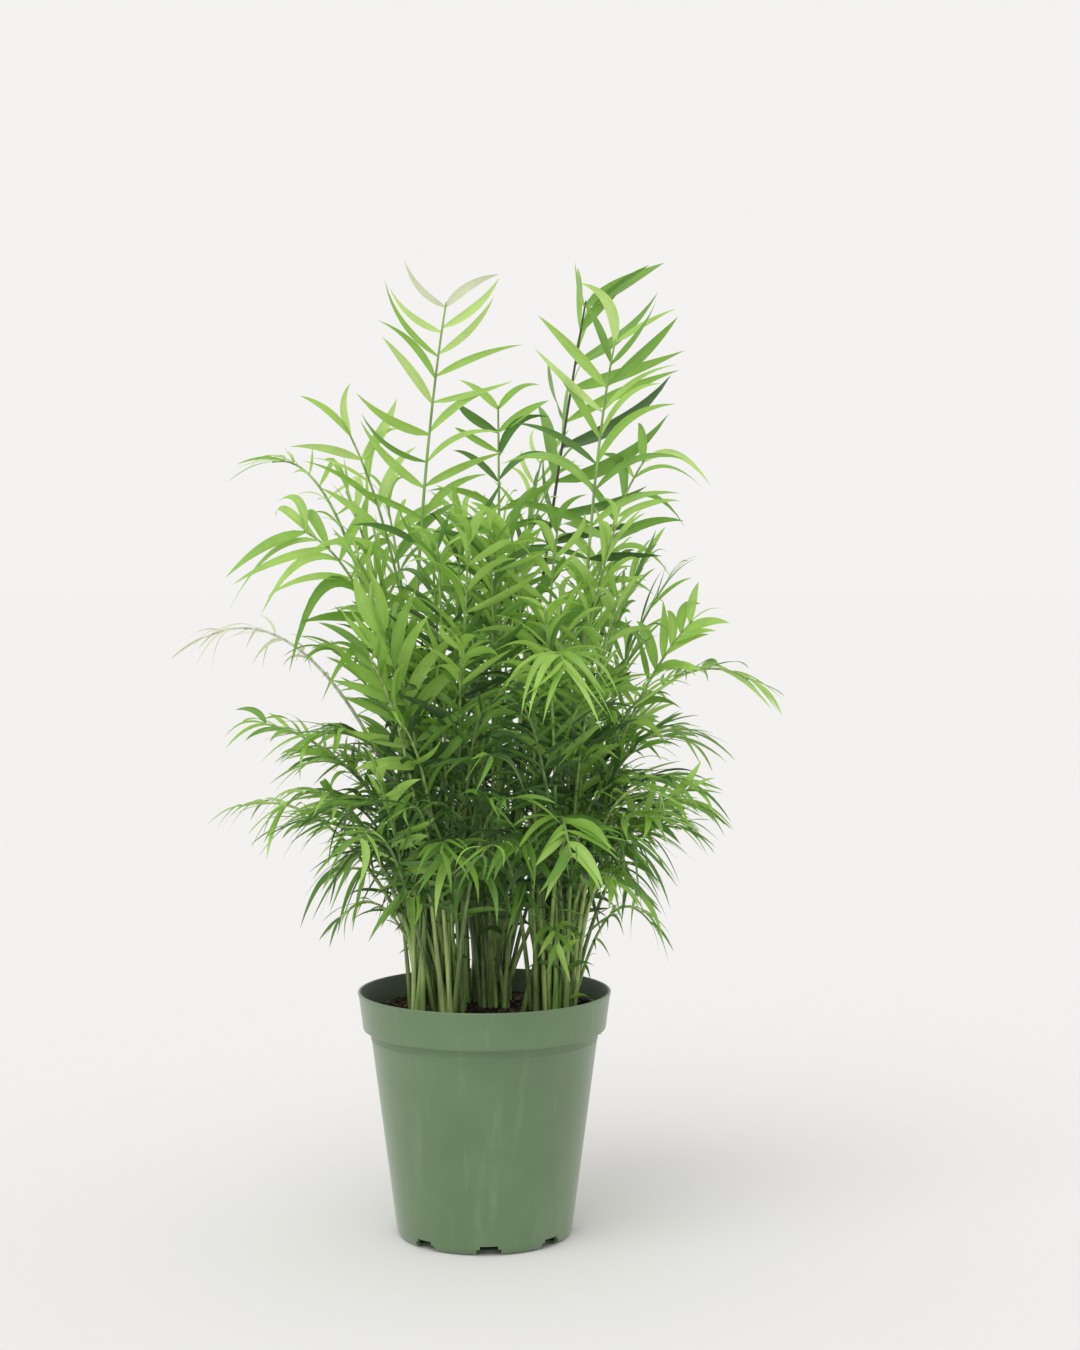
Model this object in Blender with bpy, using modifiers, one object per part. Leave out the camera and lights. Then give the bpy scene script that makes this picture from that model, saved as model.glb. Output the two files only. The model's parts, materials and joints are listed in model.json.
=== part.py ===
"""A parlour palm in a round nursery pot: pot, soil, short stems and one solid for each frond."""
import math

import bmesh
import bpy
import numpy as np
from mathutils import Matrix, Vector
from mathutils.bvhtree import BVHTree

MM = 0.001
GOLDEN_ANGLE = math.radians(137.508)
GOLDEN_SHARE = 0.618  # steps evenly through a range
GAP = 0.3 * MM  # left between pieces that touch on the real plant

# Pot, a turned plastic shell that stands on its flat underside
RIM_RADIUS = 77.5 * MM
POT_HEIGHT = 150 * MM
WALL = 1.6 * MM
BAND_HEIGHT = 23 * MM  # the deep collar under the lip
BAND_FOOT_RADIUS = 74.5 * MM
BAND_EDGE = 1.2 * MM  # chamfer at the collar's lower edge
NECK_RADIUS = 70 * MM  # the wall just below the collar
FOOT_RADIUS = 53.5 * MM
FOOT_ROUNDING = 5 * MM
LIP_ROUNDING = 0.8 * MM
POT_STEPS = 44
DRAIN_HOLES = 8
DRAIN_WIDTH = 15 * MM
DRAIN_HEIGHT = 6 * MM
DRAIN_FIRST_ANGLE = math.radians(-86)  # one slot shows in front, a little right of the middle

# Soil, level in the middle and sunk a little at the wall; it fills the collar's lower part
SOIL_LEVEL = 138 * MM
SOIL_FLAT_RADIUS = 64 * MM
SOIL_EDGE_DROP = 2 * MM
SOIL_STEPS = 40

# Stems: three clumps, each planted in a small sunflower pattern
CLUMPS = {  # name: middle x, middle y, number of stems, radius of the clump
    "left": (-25 * MM, -10 * MM, 5, 14 * MM),
    "middle": (2 * MM, 20 * MM, 4, 14 * MM),
    "right": (44 * MM, 0, 5, 14 * MM),
}
CLUMP_TURN = 0.3
STEM_FOOT_RADIUS = 2.8 * MM
STEM_RADIUS = 2.1 * MM
STEM_TIP_RADIUS = 1.7 * MM
STEM_FLARE_HEIGHT = 7 * MM
STEM_SHORTEST = 40 * MM
STEM_LONGEST = 72 * MM
STEM_SPLAY = 0.44  # sideways reach of a stem's tip, as a share of its place in the clump
STEM_LEAN = 0.10  # and as a share of its place in the pot
STEM_BENDS = 3
SEATS = (1.0, 0.66, 0.84, 0.48)  # where along a stem its fronds leave it, the first from the tip

# Fronds that give the crown its outline. Each has its clump, the x, y and z of its tip in
# millimetres, how far its bend point stands above the tip, how far out that point lies as a
# share of the reach, how far its blade is turned towards the front, from 0 to 1, and how many
# degrees its leaflets lift above the blade
OUTLINE_FRONDS = (
    ("left", -22, -24, 565, -130, 0.10, 1.0, 18),  # tall and upright, top left
    ("left", -132, 34, 474, 12, 0.40, 0.2, 18),  # thin arch, upper left
    ("left", -106, -34, 430, -24, 0.38, 0.5, 8),  # broad fan, left
    ("left", -172, 24, 366, 36, 0.48, 0, 10),  # far left, arching
    ("left", -134, -8, 314, -12, 0.42, 0.2, 18),  # low left
    ("left", -118, -50, 266, 40, 0.52, 0, 10),  # drooping, low left
    ("left", -90, -24, 222, 46, 0.50, 0, 10),  # lowest left, over the rim
    ("left", -58, -66, 372, -70, 0.28, 0.9, 22),  # front left, broad leaflets up
    ("left", -80, -16, 488, -84, 0.24, 0.7, 18),  # upper left of the middle
    ("middle", 8, 34, 508, -90, 0.20, 0.9, 10),  # upright, behind the middle
    ("middle", 62, 24, 571, -150, 0.50, 0.5, -38),  # tall and upright, top right
    ("right", 79, -18, 544, -96, 0.20, 0.8, 12),  # broad leaflets, top right
    ("right", 48, -112, 352, 44, 0.46, 0, 6),  # arching to the front
    ("right", 52, -100, 244, 56, 0.50, 0, 6),  # low front, drooping
    ("right", 126, -8, 376, -56, 0.30, 0.6, 24),  # right, turned to the front
    ("right", 162, 12, 340, 36, 0.50, 0, 10),  # far right, arching
    ("right", 122, -34, 276, -20, 0.40, 0.4, 18),  # low right
    ("right", 118, 36, 256, 34, 0.50, 0, 10),  # low right, drooping
    ("right", 92, -46, 214, 50, 0.52, 0, 6),  # lowest right, over the rim
    ("right", 98, 16, 474, -66, 0.26, 0.6, 12),  # upper right
    ("left", -58, -90, 288, -58, 0.32, 0.5, 24),  # low front left, leaflets up
    ("middle", 8, -72, 420, -30, 0.34, 0.3, 8),  # front, arching a little
)
# The other fronds fill the crown: bearing, height and reach step evenly through their ranges
FROND_COUNT = 44
EVEN_STEPS = (0.5497, 0.8192, 0.6710)  # bearing, height, reach
FILL_LOWEST = 228 * MM
FILL_HIGHEST = 484 * MM
SHORTEST_REACH = 0.45
LONGEST_REACH = 0.98
CROWN_MIDDLE_X = 8 * MM
CROWN_REACH = (  # height, and how far the ribs reach from the middle there, in millimetres
    (200, 92), (255, 122), (345, 108), (410, 122), (480, 84), (600, 36),
)
LOW_CREST = 52 * MM
HIGH_CREST = -96 * MM
LOW_LEAN = 0.50
HIGH_LEAN = 0.18

# Ribs: three-sided, from the stem to the tip of the frond
RIB_FOOT_RADIUS = 1.4 * MM
RIB_BLADE_RADIUS = 1.0 * MM
RIB_TIP_RADIUS = 0.6 * MM
RIB_LEAST_RISE = 45 * MM
LENGTH_STEPS = 18
CLEARANCE = 0.7 * MM
NUDGE = 2.6 * MM
NUDGES = 110
FOOT_TURNS = (0, 55, -55, 110, -110)  # degrees round the stem
SEAT_STEPS = 8
STALK_STEPS = 5
BLADE_SHARE = 0.50
BLADE_SHORTEST = 90 * MM
BLADE_LONGEST = 172 * MM

# Leaflets, drawn out of the rib's flanks
LEAFLET_PAIRS = 6  # besides the pair at the tip
LEAFLET_LONGEST = 70 * MM
LEAFLET_SHORTEST = 54 * MM
OUTLINE_WIDTH = 0.15  # of a leaflet's length
FILL_WIDTH = 0.18
LEAFLET_ROOT = 5 * MM
LEAFLET_KEEL = 1.1 * MM
FILL_LIFT = 14  # degrees
LEAFLET_FIRST_ANGLE = 64
LEAFLET_LAST_ANGLE = 30
LOW_STRETCH = 0.80  # low fronds have shorter leaflets
LOW_DROOP = 0.44
HIGH_DROOP = 0.14
# Sections of a leaflet: place along it, and width and keel there, as shares of the full ones
OUTLINE_SECTIONS = ((0.34, 1.0, 1.0), (0.70, 0.72, 0.75))
FILL_SECTIONS = ((0.42, 1.0, 1.0),)
LEAFLET_TRIES = (  # change of angle and of lift in degrees, and of length
    (0, 0, 1.0), (7, 0, 1.0), (-7, 0, 1.0), (0, 12, 1.0), (0, -14, 1.0),
    (12, 10, 0.9), (-10, 12, 0.9), (0, -24, 0.85), (-12, -12, 0.75), (10, -12, 0.7),
)
TEST_SWELL = 1.12  # leaflets are tested this much wider and thicker than they are made
TEST_START = 0.12  # against their own frond, from this far out
RIB_TEST_SWELL = 1.25
WELD = 0.0001 * MM

COLOURS = {  # red, green, blue, roughness
    "pot_plastic": (0.150, 0.245, 0.130, 0.42),
    "potting_soil": (0.022, 0.017, 0.013, 0.95),
    "stem_green": (0.170, 0.260, 0.070, 0.50),
    "frond_green": (0.105, 0.290, 0.045, 0.45),
}


def clear_scene():
    for obj in list(bpy.data.objects):
        bpy.data.objects.remove(obj)


def material(name):
    found = bpy.data.materials.get(name)
    if found:
        return found
    made = bpy.data.materials.new(name)
    made.use_nodes = True
    shader = made.node_tree.nodes["Principled BSDF"]
    red, green, blue, roughness = COLOURS[name]
    shader.inputs["Base Color"].default_value = (red, green, blue, 1)
    shader.inputs["Roughness"].default_value = roughness
    shader.inputs["Metallic"].default_value = 0
    return made


def collection(name):
    made = bpy.data.collections.new(name)
    bpy.context.scene.collection.children.link(made)
    return made


def new_object(name, data, home, finish):
    made = bpy.data.objects.new(name, data)
    home.objects.link(made)
    data.materials.append(material(finish))
    return made


def turned(name, profile, steps, home, finish):
    """A closed solid from a profile of (radius, height) points, turned about Z."""
    mesh = bpy.data.meshes.new(name)
    edges = [(i, i + 1) for i in range(len(profile) - 1)]
    mesh.from_pydata([(radius, 0, height) for radius, height in profile], edges, [])
    made = new_object(name, mesh, home, finish)
    screw = made.modifiers.new("turn", "SCREW")
    screw.steps = screw.render_steps = steps
    screw.use_merge_vertices = True
    screw.merge_threshold = 0.0001
    screw.use_smooth_shade = True
    return made


def wall_radius(height):
    """Outer radius of the pot's plain wall, below the collar."""
    return FOOT_RADIUS + (NECK_RADIUS - FOOT_RADIUS) * height / (POT_HEIGHT - BAND_HEIGHT)


def arc(centre, radius, start, end, points):
    """Points of an arc as (radius, height) pairs, angles in degrees from the outward direction."""
    angles = [math.radians(start + (end - start) * i / (points - 1)) for i in range(points)]
    return [(centre[0] + radius * math.cos(a), centre[1] + radius * math.sin(a)) for a in angles]


def pot_profile():
    """Runs over the lip, down the outside, under the floor, and up the inside to the lip."""
    neck = POT_HEIGHT - BAND_HEIGHT
    lip = (RIM_RADIUS - LIP_ROUNDING, POT_HEIGHT - LIP_ROUNDING)
    foot = (wall_radius(FOOT_ROUNDING) - FOOT_ROUNDING, FOOT_ROUNDING)
    outside = arc(lip, LIP_ROUNDING, 180, 0, 5)
    outside += [(BAND_FOOT_RADIUS, neck + BAND_EDGE), (BAND_FOOT_RADIUS - BAND_EDGE, neck)]
    outside += [(NECK_RADIUS, neck)]
    outside += arc(foot, FOOT_ROUNDING, 0, -90, 4)
    inside = [(foot[0], WALL), (wall_radius(FOOT_ROUNDING) - WALL, FOOT_ROUNDING)]
    inside += [(NECK_RADIUS - WALL, neck), (BAND_FOOT_RADIUS - WALL, neck + 2 * WALL)]
    return outside + [(0, 0), (0, WALL)] + inside + [outside[0]]


def drain_cutters(home):
    """Blocks round the foot that open the corner between wall and floor."""
    for i in range(DRAIN_HOLES):
        turn = DRAIN_FIRST_ANGLE + i * math.tau / DRAIN_HOLES
        bpy.ops.mesh.primitive_cube_add(size=1)
        block = bpy.context.object
        block.name = f"drain_cutter_{i + 1}"
        size = (3 * FOOT_ROUNDING, DRAIN_WIDTH, 2 * DRAIN_HEIGHT)
        block.data.transform(Matrix.Diagonal((*size, 1)))
        block.location = (FOOT_RADIUS * math.cos(turn), FOOT_RADIUS * math.sin(turn), 0)
        block.rotation_euler = (0, 0, turn)
        block.hide_render = True
        block.display_type = "WIRE"
        for owner in list(block.users_collection):
            owner.objects.unlink(block)
        home.objects.link(block)


def build_pot(home, cutters):
    pot = turned("pot", pot_profile(), POT_STEPS, home, "pot_plastic")
    drain_cutters(cutters)
    holes = pot.modifiers.new("drain_holes", "BOOLEAN")
    holes.operation = "DIFFERENCE"
    holes.operand_type = "COLLECTION"
    holes.collection = cutters
    holes.solver = "EXACT"


def collar_inside(height):
    """Inner radius of the collar, from the shelf at its foot to the lip."""
    foot = POT_HEIGHT - BAND_HEIGHT + 2 * WALL
    share = (height - foot) / (POT_HEIGHT - LIP_ROUNDING - foot)
    return blend(BAND_FOOT_RADIUS - WALL, RIM_RADIUS - 2 * LIP_ROUNDING, share)


def build_soil(home):
    edge_height = SOIL_LEVEL - SOIL_EDGE_DROP
    neck_height = POT_HEIGHT - BAND_HEIGHT
    shelf_height = neck_height + 2 * WALL + GAP
    neck = NECK_RADIUS - WALL - GAP
    low_height = FOOT_ROUNDING + DRAIN_HEIGHT
    low = wall_radius(low_height) - WALL - GAP
    foot = FOOT_RADIUS - FOOT_ROUNDING - DRAIN_HEIGHT
    floor = WALL + GAP
    profile = [(0, SOIL_LEVEL), (SOIL_FLAT_RADIUS, SOIL_LEVEL)]
    profile += [(collar_inside(height) - 2 * GAP, height) for height in (edge_height, shelf_height)]
    profile += [(neck, neck_height + GAP), (low, low_height), (foot, floor), (0, floor)]
    turned("potting_soil", profile, SOIL_STEPS, home, "potting_soil")


def stem_plan():
    """Each stem's name, foot, height and splay, worked out from its place in its clump."""
    stems = []
    for clump, (middle_x, middle_y, count, spread) in CLUMPS.items():
        middle = Vector((middle_x, middle_y, 0))
        for k in range(count):
            away = spread * math.sqrt((k + 0.5) / count)
            turn = k * GOLDEN_ANGLE + CLUMP_TURN
            foot = middle + Vector((away * math.cos(turn), away * math.sin(turn), 0))
            share = ((k + 0.6) * GOLDEN_SHARE) % 1
            stems.append({
                "name": f"stem_{clump}_{k + 1}",
                "clump": clump,
                "foot": foot,
                "height": STEM_SHORTEST + (STEM_LONGEST - STEM_SHORTEST) * share,
                "splay": (foot - middle) * STEM_SPLAY + foot * STEM_LEAN,
                "fronds": 0,
            })
    return stems


def stem_point(stem, share):
    """A point on a stem's centre line. The foot is upright, so that its cut is level."""
    flare = STEM_FLARE_HEIGHT / stem["height"]
    bend = max(0, share - flare) / (1 - flare)
    rise = SOIL_LEVEL + GAP + stem["height"] * share
    return stem["foot"] + stem["splay"] * bend ** 1.5 + Vector((0, 0, rise))


def stem_radius(stem, share):
    flare = max(0, 1 - stem["height"] * share / STEM_FLARE_HEIGHT)
    taper = STEM_RADIUS + (STEM_TIP_RADIUS - STEM_RADIUS) * share
    return taper + (STEM_FOOT_RADIUS - STEM_RADIUS) * flare


def stem_shares(stem):
    flare = STEM_FLARE_HEIGHT / stem["height"]
    return [0] + [flare + (1 - flare) * i / STEM_BENDS for i in range(STEM_BENDS + 1)]


def build_stem(stem, home):
    curve = bpy.data.curves.new(stem["name"], "CURVE")
    curve.dimensions = "3D"
    curve.bevel_depth = 1
    curve.bevel_resolution = 1
    curve.use_fill_caps = True
    shares = stem_shares(stem)
    spline = curve.splines.new("POLY")
    spline.points.add(len(shares) - 1)
    for point, share in zip(spline.points, shares):
        point.co = (*stem_point(stem, share), 1)
        point.radius = stem_radius(stem, share)
    new_object(stem["name"], curve, home, "stem_green")


def crown_reach(height):
    heights, reaches = zip(*CROWN_REACH)
    return float(np.interp(height / MM, heights, reaches)) * MM


def blend(low, high, share):
    return low + (high - low) * share


def frond_plan(stems):
    """Where each frond's tip goes and which stem bears it: the outline fronds, then the fill."""
    fronds = []
    for clump, x, y, z, crest, lean, turned_front, lift in OUTLINE_FRONDS:
        fronds.append({
            "clump": clump,
            "tip": Vector((x, y, z)) * MM,
            "crest": crest * MM,
            "lean": lean,
            "turned_front": turned_front,
            "lift": lift,
            "width": OUTLINE_WIDTH,
            "sections": OUTLINE_SECTIONS,
        })
    for k in range(FROND_COUNT - len(fronds)):
        turn, level, out = [(0.5 + (k + 1) * step) % 1 for step in EVEN_STEPS]
        turn *= math.tau
        height = blend(FILL_LOWEST, FILL_HIGHEST, level)
        reach = crown_reach(height) * blend(SHORTEST_REACH, LONGEST_REACH, out)
        fronds.append({
            "clump": None,
            "tip": Vector((CROWN_MIDDLE_X + reach * math.cos(turn), reach * math.sin(turn), height)),
            "crest": blend(LOW_CREST, HIGH_CREST, level),
            "lean": blend(LOW_LEAN, HIGH_LEAN, level),
            "turned_front": 0,
            "lift": FILL_LIFT,
            "width": FILL_WIDTH,
            "sections": FILL_SECTIONS,
        })
    most = math.ceil(FROND_COUNT / len(stems))
    for n, frond in enumerate(fronds):
        stem = best_stem(stems, frond, most)
        frond["name"] = f"frond_{n + 1:02d}"
        frond["stem"] = stem
        frond["seat"] = SEATS[stem["fronds"]]
        frond["vigour"] = (n * GOLDEN_SHARE + 0.5) % 1
        height = (frond["tip"].z - FILL_LOWEST) / (FILL_HIGHEST - FILL_LOWEST)
        frond["height"] = min(max(height, 0), 1)
        stem["fronds"] += 1
    return fronds


def best_stem(stems, frond, most):
    """The stem with room left whose foot lies furthest towards the frond's tip."""
    aim = frond["tip"].xy - Vector((CROWN_MIDDLE_X, 0))
    aim.normalize()
    free = [s for s in stems if s["fronds"] < most and frond["clump"] in (None, s["clump"])]
    free = free or [s for s in stems if s["fronds"] < most]
    return max(free, key=lambda s: s["foot"].xy.dot(aim) - 0.020 * s["fronds"])


def ring_offsets(side, up, radius):
    """The rib's three corners about its centre: two flanks and, below them, the keel."""
    flank = math.sqrt(3) / 2 * radius
    return up * radius / 2 - side * flank, up * radius / 2 + side * flank, -up * radius


def rib_curve(frond, turn, nudge):
    """The three points of the rib's curve: it leaves the stem, rises, and arches to the tip."""
    stem, seat, tip = frond["stem"], frond["seat"], frond["tip"]
    core = stem_point(stem, seat)
    bend = core.lerp(tip, frond["lean"])
    bend.z = max(tip.z + frond["crest"], core.z + RIB_LEAST_RISE)
    bend += nudge
    out = Vector((*(tip.xy - core.xy).normalized(), 0))
    if seat == 1:
        slope = (bend.xy - core.xy).length / (bend - core).length
        foot = core + Vector((0, 0, 1.5 * GAP + RIB_FOOT_RADIUS * slope))
    else:
        bearing = Matrix.Rotation(turn, 3, "Z") @ out
        across = Vector((out.y, -out.x, 0))
        support = max(offset.dot(-bearing) for offset in ring_offsets(across, -out, RIB_FOOT_RADIUS))
        foot = core + bearing * (stem_radius(stem, seat) + 1.5 * GAP + support)
    return foot, bend, tip


def on_curve(curve, share):
    foot, bend, tip = curve
    rest = 1 - share
    return foot * rest ** 2 + bend * (2 * share * rest) + tip * share ** 2


def along_curve(curve, share):
    foot, bend, tip = curve
    return ((bend - foot) * (1 - share) + (tip - bend) * share).normalized()


def rib_radius(share, blade_start):
    if share < blade_start:
        return blend(RIB_FOOT_RADIUS, RIB_BLADE_RADIUS, share / blade_start)
    return blend(RIB_BLADE_RADIUS, RIB_TIP_RADIUS, (share - blade_start) / (1 - blade_start))


def thick_line(points, radii):
    """A line as its segments' starts, steps and radii."""
    points = np.array(points)
    radii = np.array(radii)
    return points[:-1], points[1:] - points[:-1], np.maximum(radii[:-1], radii[1:])


def room_between(first, second):
    """Least clear distance between the segments of two thick lines."""
    a, u, ra = first[0][:, None], first[1][:, None], first[2][:, None]
    b, v, rb = second[0][None], second[1][None], second[2][None]
    w = a - b
    uu, vv, uv = (u * u).sum(-1), (v * v).sum(-1), (u * v).sum(-1)
    uw, vw = (u * w).sum(-1), (v * w).sum(-1)
    s = np.clip((uv * vw - vv * uw) / np.maximum(uu * vv - uv * uv, 1e-12), 0, 1)
    t = np.clip((uv * s + vw) / vv, 0, 1)
    s = np.clip((uv * t - uw) / uu, 0, 1)
    apart = w + s[..., None] * u - t[..., None] * v
    return float((np.sqrt((apart ** 2).sum(-1)) - ra - rb).min())


def stem_line(stem):
    shares = stem_shares(stem)
    return thick_line([stem_point(stem, s) for s in shares], [stem_radius(stem, s) for s in shares])


def rim_line():
    turns = [i * math.tau / POT_STEPS for i in range(POT_STEPS + 1)]
    middle = RIM_RADIUS - LIP_ROUNDING
    level = POT_HEIGHT - LIP_ROUNDING
    ring = [(middle * math.cos(a), middle * math.sin(a), level) for a in turns]
    return thick_line(ring, [2 * WALL] * len(ring))


def seat_room(frond):
    """Clear distance between the foot of a rib, with its corners, and the stem that bears it."""
    if frond["seat"] == 1:
        return CLEARANCE
    rings = [rib_ring(frond, share) for share in rib_shares(frond)[:STALK_STEPS]]
    outline = []
    for ring, after in zip(rings, rings[1:]):
        for i in range(SEAT_STEPS):
            outline += [a.lerp(b, i / SEAT_STEPS) for a, b in zip(ring, after)]
    return room_between(thick_line(outline, [0] * len(outline)), stem_line(frond["stem"]))


def rib_shares(frond):
    """Stations of the rib: evenly up the stalk, then at both ends of each leaflet's root."""
    stalk = [frond["blade_start"] * i / STALK_STEPS for i in range(STALK_STEPS)]
    return stalk + [end for place in leaflet_places(frond) for end in place["ends"]]


def measure_rib(frond, curve):
    """Keeps the curve on the frond, with its length and the place where the blade starts."""
    points = [on_curve(curve, i / LENGTH_STEPS) for i in range(LENGTH_STEPS + 1)]
    length = sum((b - a).length for a, b in zip(points, points[1:]))
    blade = min(max(length * BLADE_SHARE, BLADE_SHORTEST), BLADE_LONGEST)
    frond["curve"] = curve
    frond["length"] = length
    frond["blade_start"] = 1 - blade / length
    shares = rib_shares(frond)
    radii = [rib_radius(share, frond["blade_start"]) for share in shares]
    return thick_line([on_curve(curve, share) for share in shares], radii)


def settle_ribs(fronds, stems):
    """Gives each frond a rib that stays clear of the pot, the stems and the ribs before it."""
    placed = [rim_line()]
    for frond in fronds:
        others = placed + [stem_line(s) for s in stems if s is not frond["stem"]]
        others = [np.concatenate(parts) for parts in zip(*others)]
        tries = []
        for attempt in range(NUDGES * len(FOOT_TURNS)):
            turn = math.radians(FOOT_TURNS[attempt % len(FOOT_TURNS)])
            step = attempt // len(FOOT_TURNS)
            away = NUDGE * math.sqrt(step)
            bearing = step * GOLDEN_ANGLE
            nudge = Vector((away * math.cos(bearing), away * math.sin(bearing), 0))
            curve = rib_curve(frond, turn, nudge)
            line = measure_rib(frond, curve)
            room = min(room_between(line, others) - CLEARANCE, seat_room(frond) - GAP / 2)
            tries.append((room, -attempt, curve))
            if room > 0:
                break
        frond["room"], _, curve = max(tries, key=lambda t: t[:2])
        placed.append(measure_rib(frond, curve))


def frond_axes(frond, share):
    """Along, side and up directions of the frond at a place on its rib."""
    curve = frond["curve"]
    along = along_curve(curve, share)
    lean = curve[2] - curve[0]
    natural_up = lean.cross(Vector((0, 0, 1))).cross(along).normalized()
    turned = frond["turned_front"] * min(share / frond["blade_start"], 1) ** 2
    side = along.cross(natural_up.lerp(Vector((0, -1, 0)), turned)).normalized()
    return along, side, side.cross(along)


def rib_ring(frond, share):
    centre = on_curve(frond["curve"], share)
    _, side, up = frond_axes(frond, share)
    radius = rib_radius(share, frond["blade_start"])
    return [centre + offset for offset in ring_offsets(side, up, radius)]


def leaflet_places(frond):
    """Where leaflets leave the rib, from the blade's start to its tip."""
    half = LEAFLET_ROOT / 2 / frond["length"]
    start = frond["blade_start"] + half
    places = []
    for k in range(LEAFLET_PAIRS + 1):
        share = blend(start, 1 - half, k / LEAFLET_PAIRS)
        places.append({"share": share, "blade": k / LEAFLET_PAIRS, "ends": (share - half, share + half)})
    return places


def leaflet_length(frond, blade):
    """Longest a third of the way along the blade, shorter at both ends and on low fronds."""
    full = blend(LEAFLET_SHORTEST, LEAFLET_LONGEST, frond["vigour"])
    full *= blend(LOW_STRETCH, 1, frond["height"])
    return full * (0.58 + 0.42 * math.sin(math.pi * (0.18 + 0.72 * blade)))


def leaflet_shape(frond, place, hand, change):
    """Sections of one leaflet as (near margin, far margin, keel), and its tip."""
    turn, lift, stretch = change
    along, side, up = frond_axes(frond, place["share"])
    length = leaflet_length(frond, place["blade"]) * stretch
    angle = math.radians(blend(LEAFLET_FIRST_ANGLE, LEAFLET_LAST_ANGLE, place["blade"]) + turn)
    rise = math.radians(frond["lift"] + lift)
    outward = side * hand * math.cos(rise) + up * math.sin(rise)
    heading = (along * math.cos(angle) + outward * math.sin(angle)).normalized()
    across = (along - heading * along.dot(heading)).normalized()
    above = heading.cross(across) * hand
    droop = Vector((0, 0, -length * blend(LOW_DROOP, HIGH_DROOP, frond["height"])))
    root = on_curve(frond["curve"], place["share"])
    sections = []
    for where, wide, deep in frond["sections"]:
        centre = root + heading * length * where + droop * where ** 2
        half = across * length * frond["width"] * wide / 2
        sections.append((centre - half, centre + half, centre - above * LEAFLET_KEEL * deep))
    return sections, root + heading * length + droop


def ring_faces(rings):
    """Quads between successive rings of three points."""
    faces = []
    for k in range(rings - 1):
        for i in range(3):
            j = (i + 1) % 3
            faces.append((3 * k + i, 3 * k + j, 3 * k + 3 + j, 3 * k + 3 + i))
    return faces


def leaflet_surface(root, sections, tip, from_root):
    """The leaflet for the touch test, a little wider and thicker than it is made."""
    start = [r.lerp(s, from_root) for r, s in zip(root, sections[0])]
    points = list(start)
    for section in sections:
        centre = sum(section, Vector()) / 3
        points += [centre + (p - centre) * TEST_SWELL for p in section]
    faces = ring_faces(len(sections) + 1)
    last = len(points) - 3
    faces += [(last + i, last + (i + 1) % 3, len(points)) for i in range(3)]
    return points + [tip], faces


class Surfaces:
    """The surfaces placed so far. It answers whether a new one would touch any of them."""

    def __init__(self):
        self.boxes = []
        self.placed = []

    def add(self, owner, whole, clear):
        corners = np.array(whole[0])
        self.boxes.append(np.concatenate((corners.min(0), corners.max(0))))
        self.placed.append((owner, BVHTree.FromPolygons(*whole), BVHTree.FromPolygons(*clear)))

    def touches(self, owner, whole, clear):
        """Pieces of the same owner meet at its rib, so there only the clear parts are tested."""
        corners = np.array(whole[0])
        boxes = np.array(self.boxes)
        near = (boxes[:, :3] <= corners.max(0)).all(1) & (boxes[:, 3:] >= corners.min(0)).all(1)
        whole_tree, clear_tree = BVHTree.FromPolygons(*whole), BVHTree.FromPolygons(*clear)
        for i in np.flatnonzero(near):
            other, other_whole, other_clear = self.placed[i]
            if other == owner and other_clear.overlap(clear_tree):
                return True
            if other != owner and other_whole.overlap(whole_tree):
                return True
        return False


def draw_out(bm, face, targets):
    """Extrudes a face and moves its corners to the targets, given in the face's own order."""
    new = bmesh.ops.extrude_discrete_faces(bm, faces=[face])["faces"][0]
    for corner, target in zip(new.verts, targets):
        corner.co = target
    return new


def side_face(face, first, second):
    """The face across the edge between two corners of a face."""
    edge = next(e for e in face.edges if {first, second} == set(e.verts))
    return next(f for f in edge.link_faces if f is not face)


def frond_mesh(frond, surfaces):
    """The frond as one closed mesh: the rib is drawn out of its foot, then leaflets from its flanks."""
    places = leaflet_places(frond)
    shares = rib_shares(frond)
    bm = bmesh.new()
    foot = [bm.verts.new(corner) for corner in rib_ring(frond, shares[0])]
    bm.faces.new(reversed(foot))
    end = bm.faces.new([bm.verts.new(v.co) for v in foot])
    flanks = {}
    for k, share in enumerate(shares[1:]):
        before = list(end.verts)
        end = draw_out(bm, end, rib_ring(frond, share))
        left, right, keel = end.verts
        flanks[k, 1] = side_face(end, right, keel)
        flanks[k, -1] = side_face(end, keel, left)
    bmesh.ops.remove_doubles(bm, verts=[v for v in bm.verts if v.is_boundary], dist=WELD)
    for n, place in enumerate(places):
        for hand in (1, -1):
            draw_leaflet(bm, flanks[STALK_STEPS + 2 * n, hand], frond, place, hand, surfaces)
    mesh = bpy.data.meshes.new(frond["name"])
    bm.to_mesh(mesh)
    bm.free()
    return mesh


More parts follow.
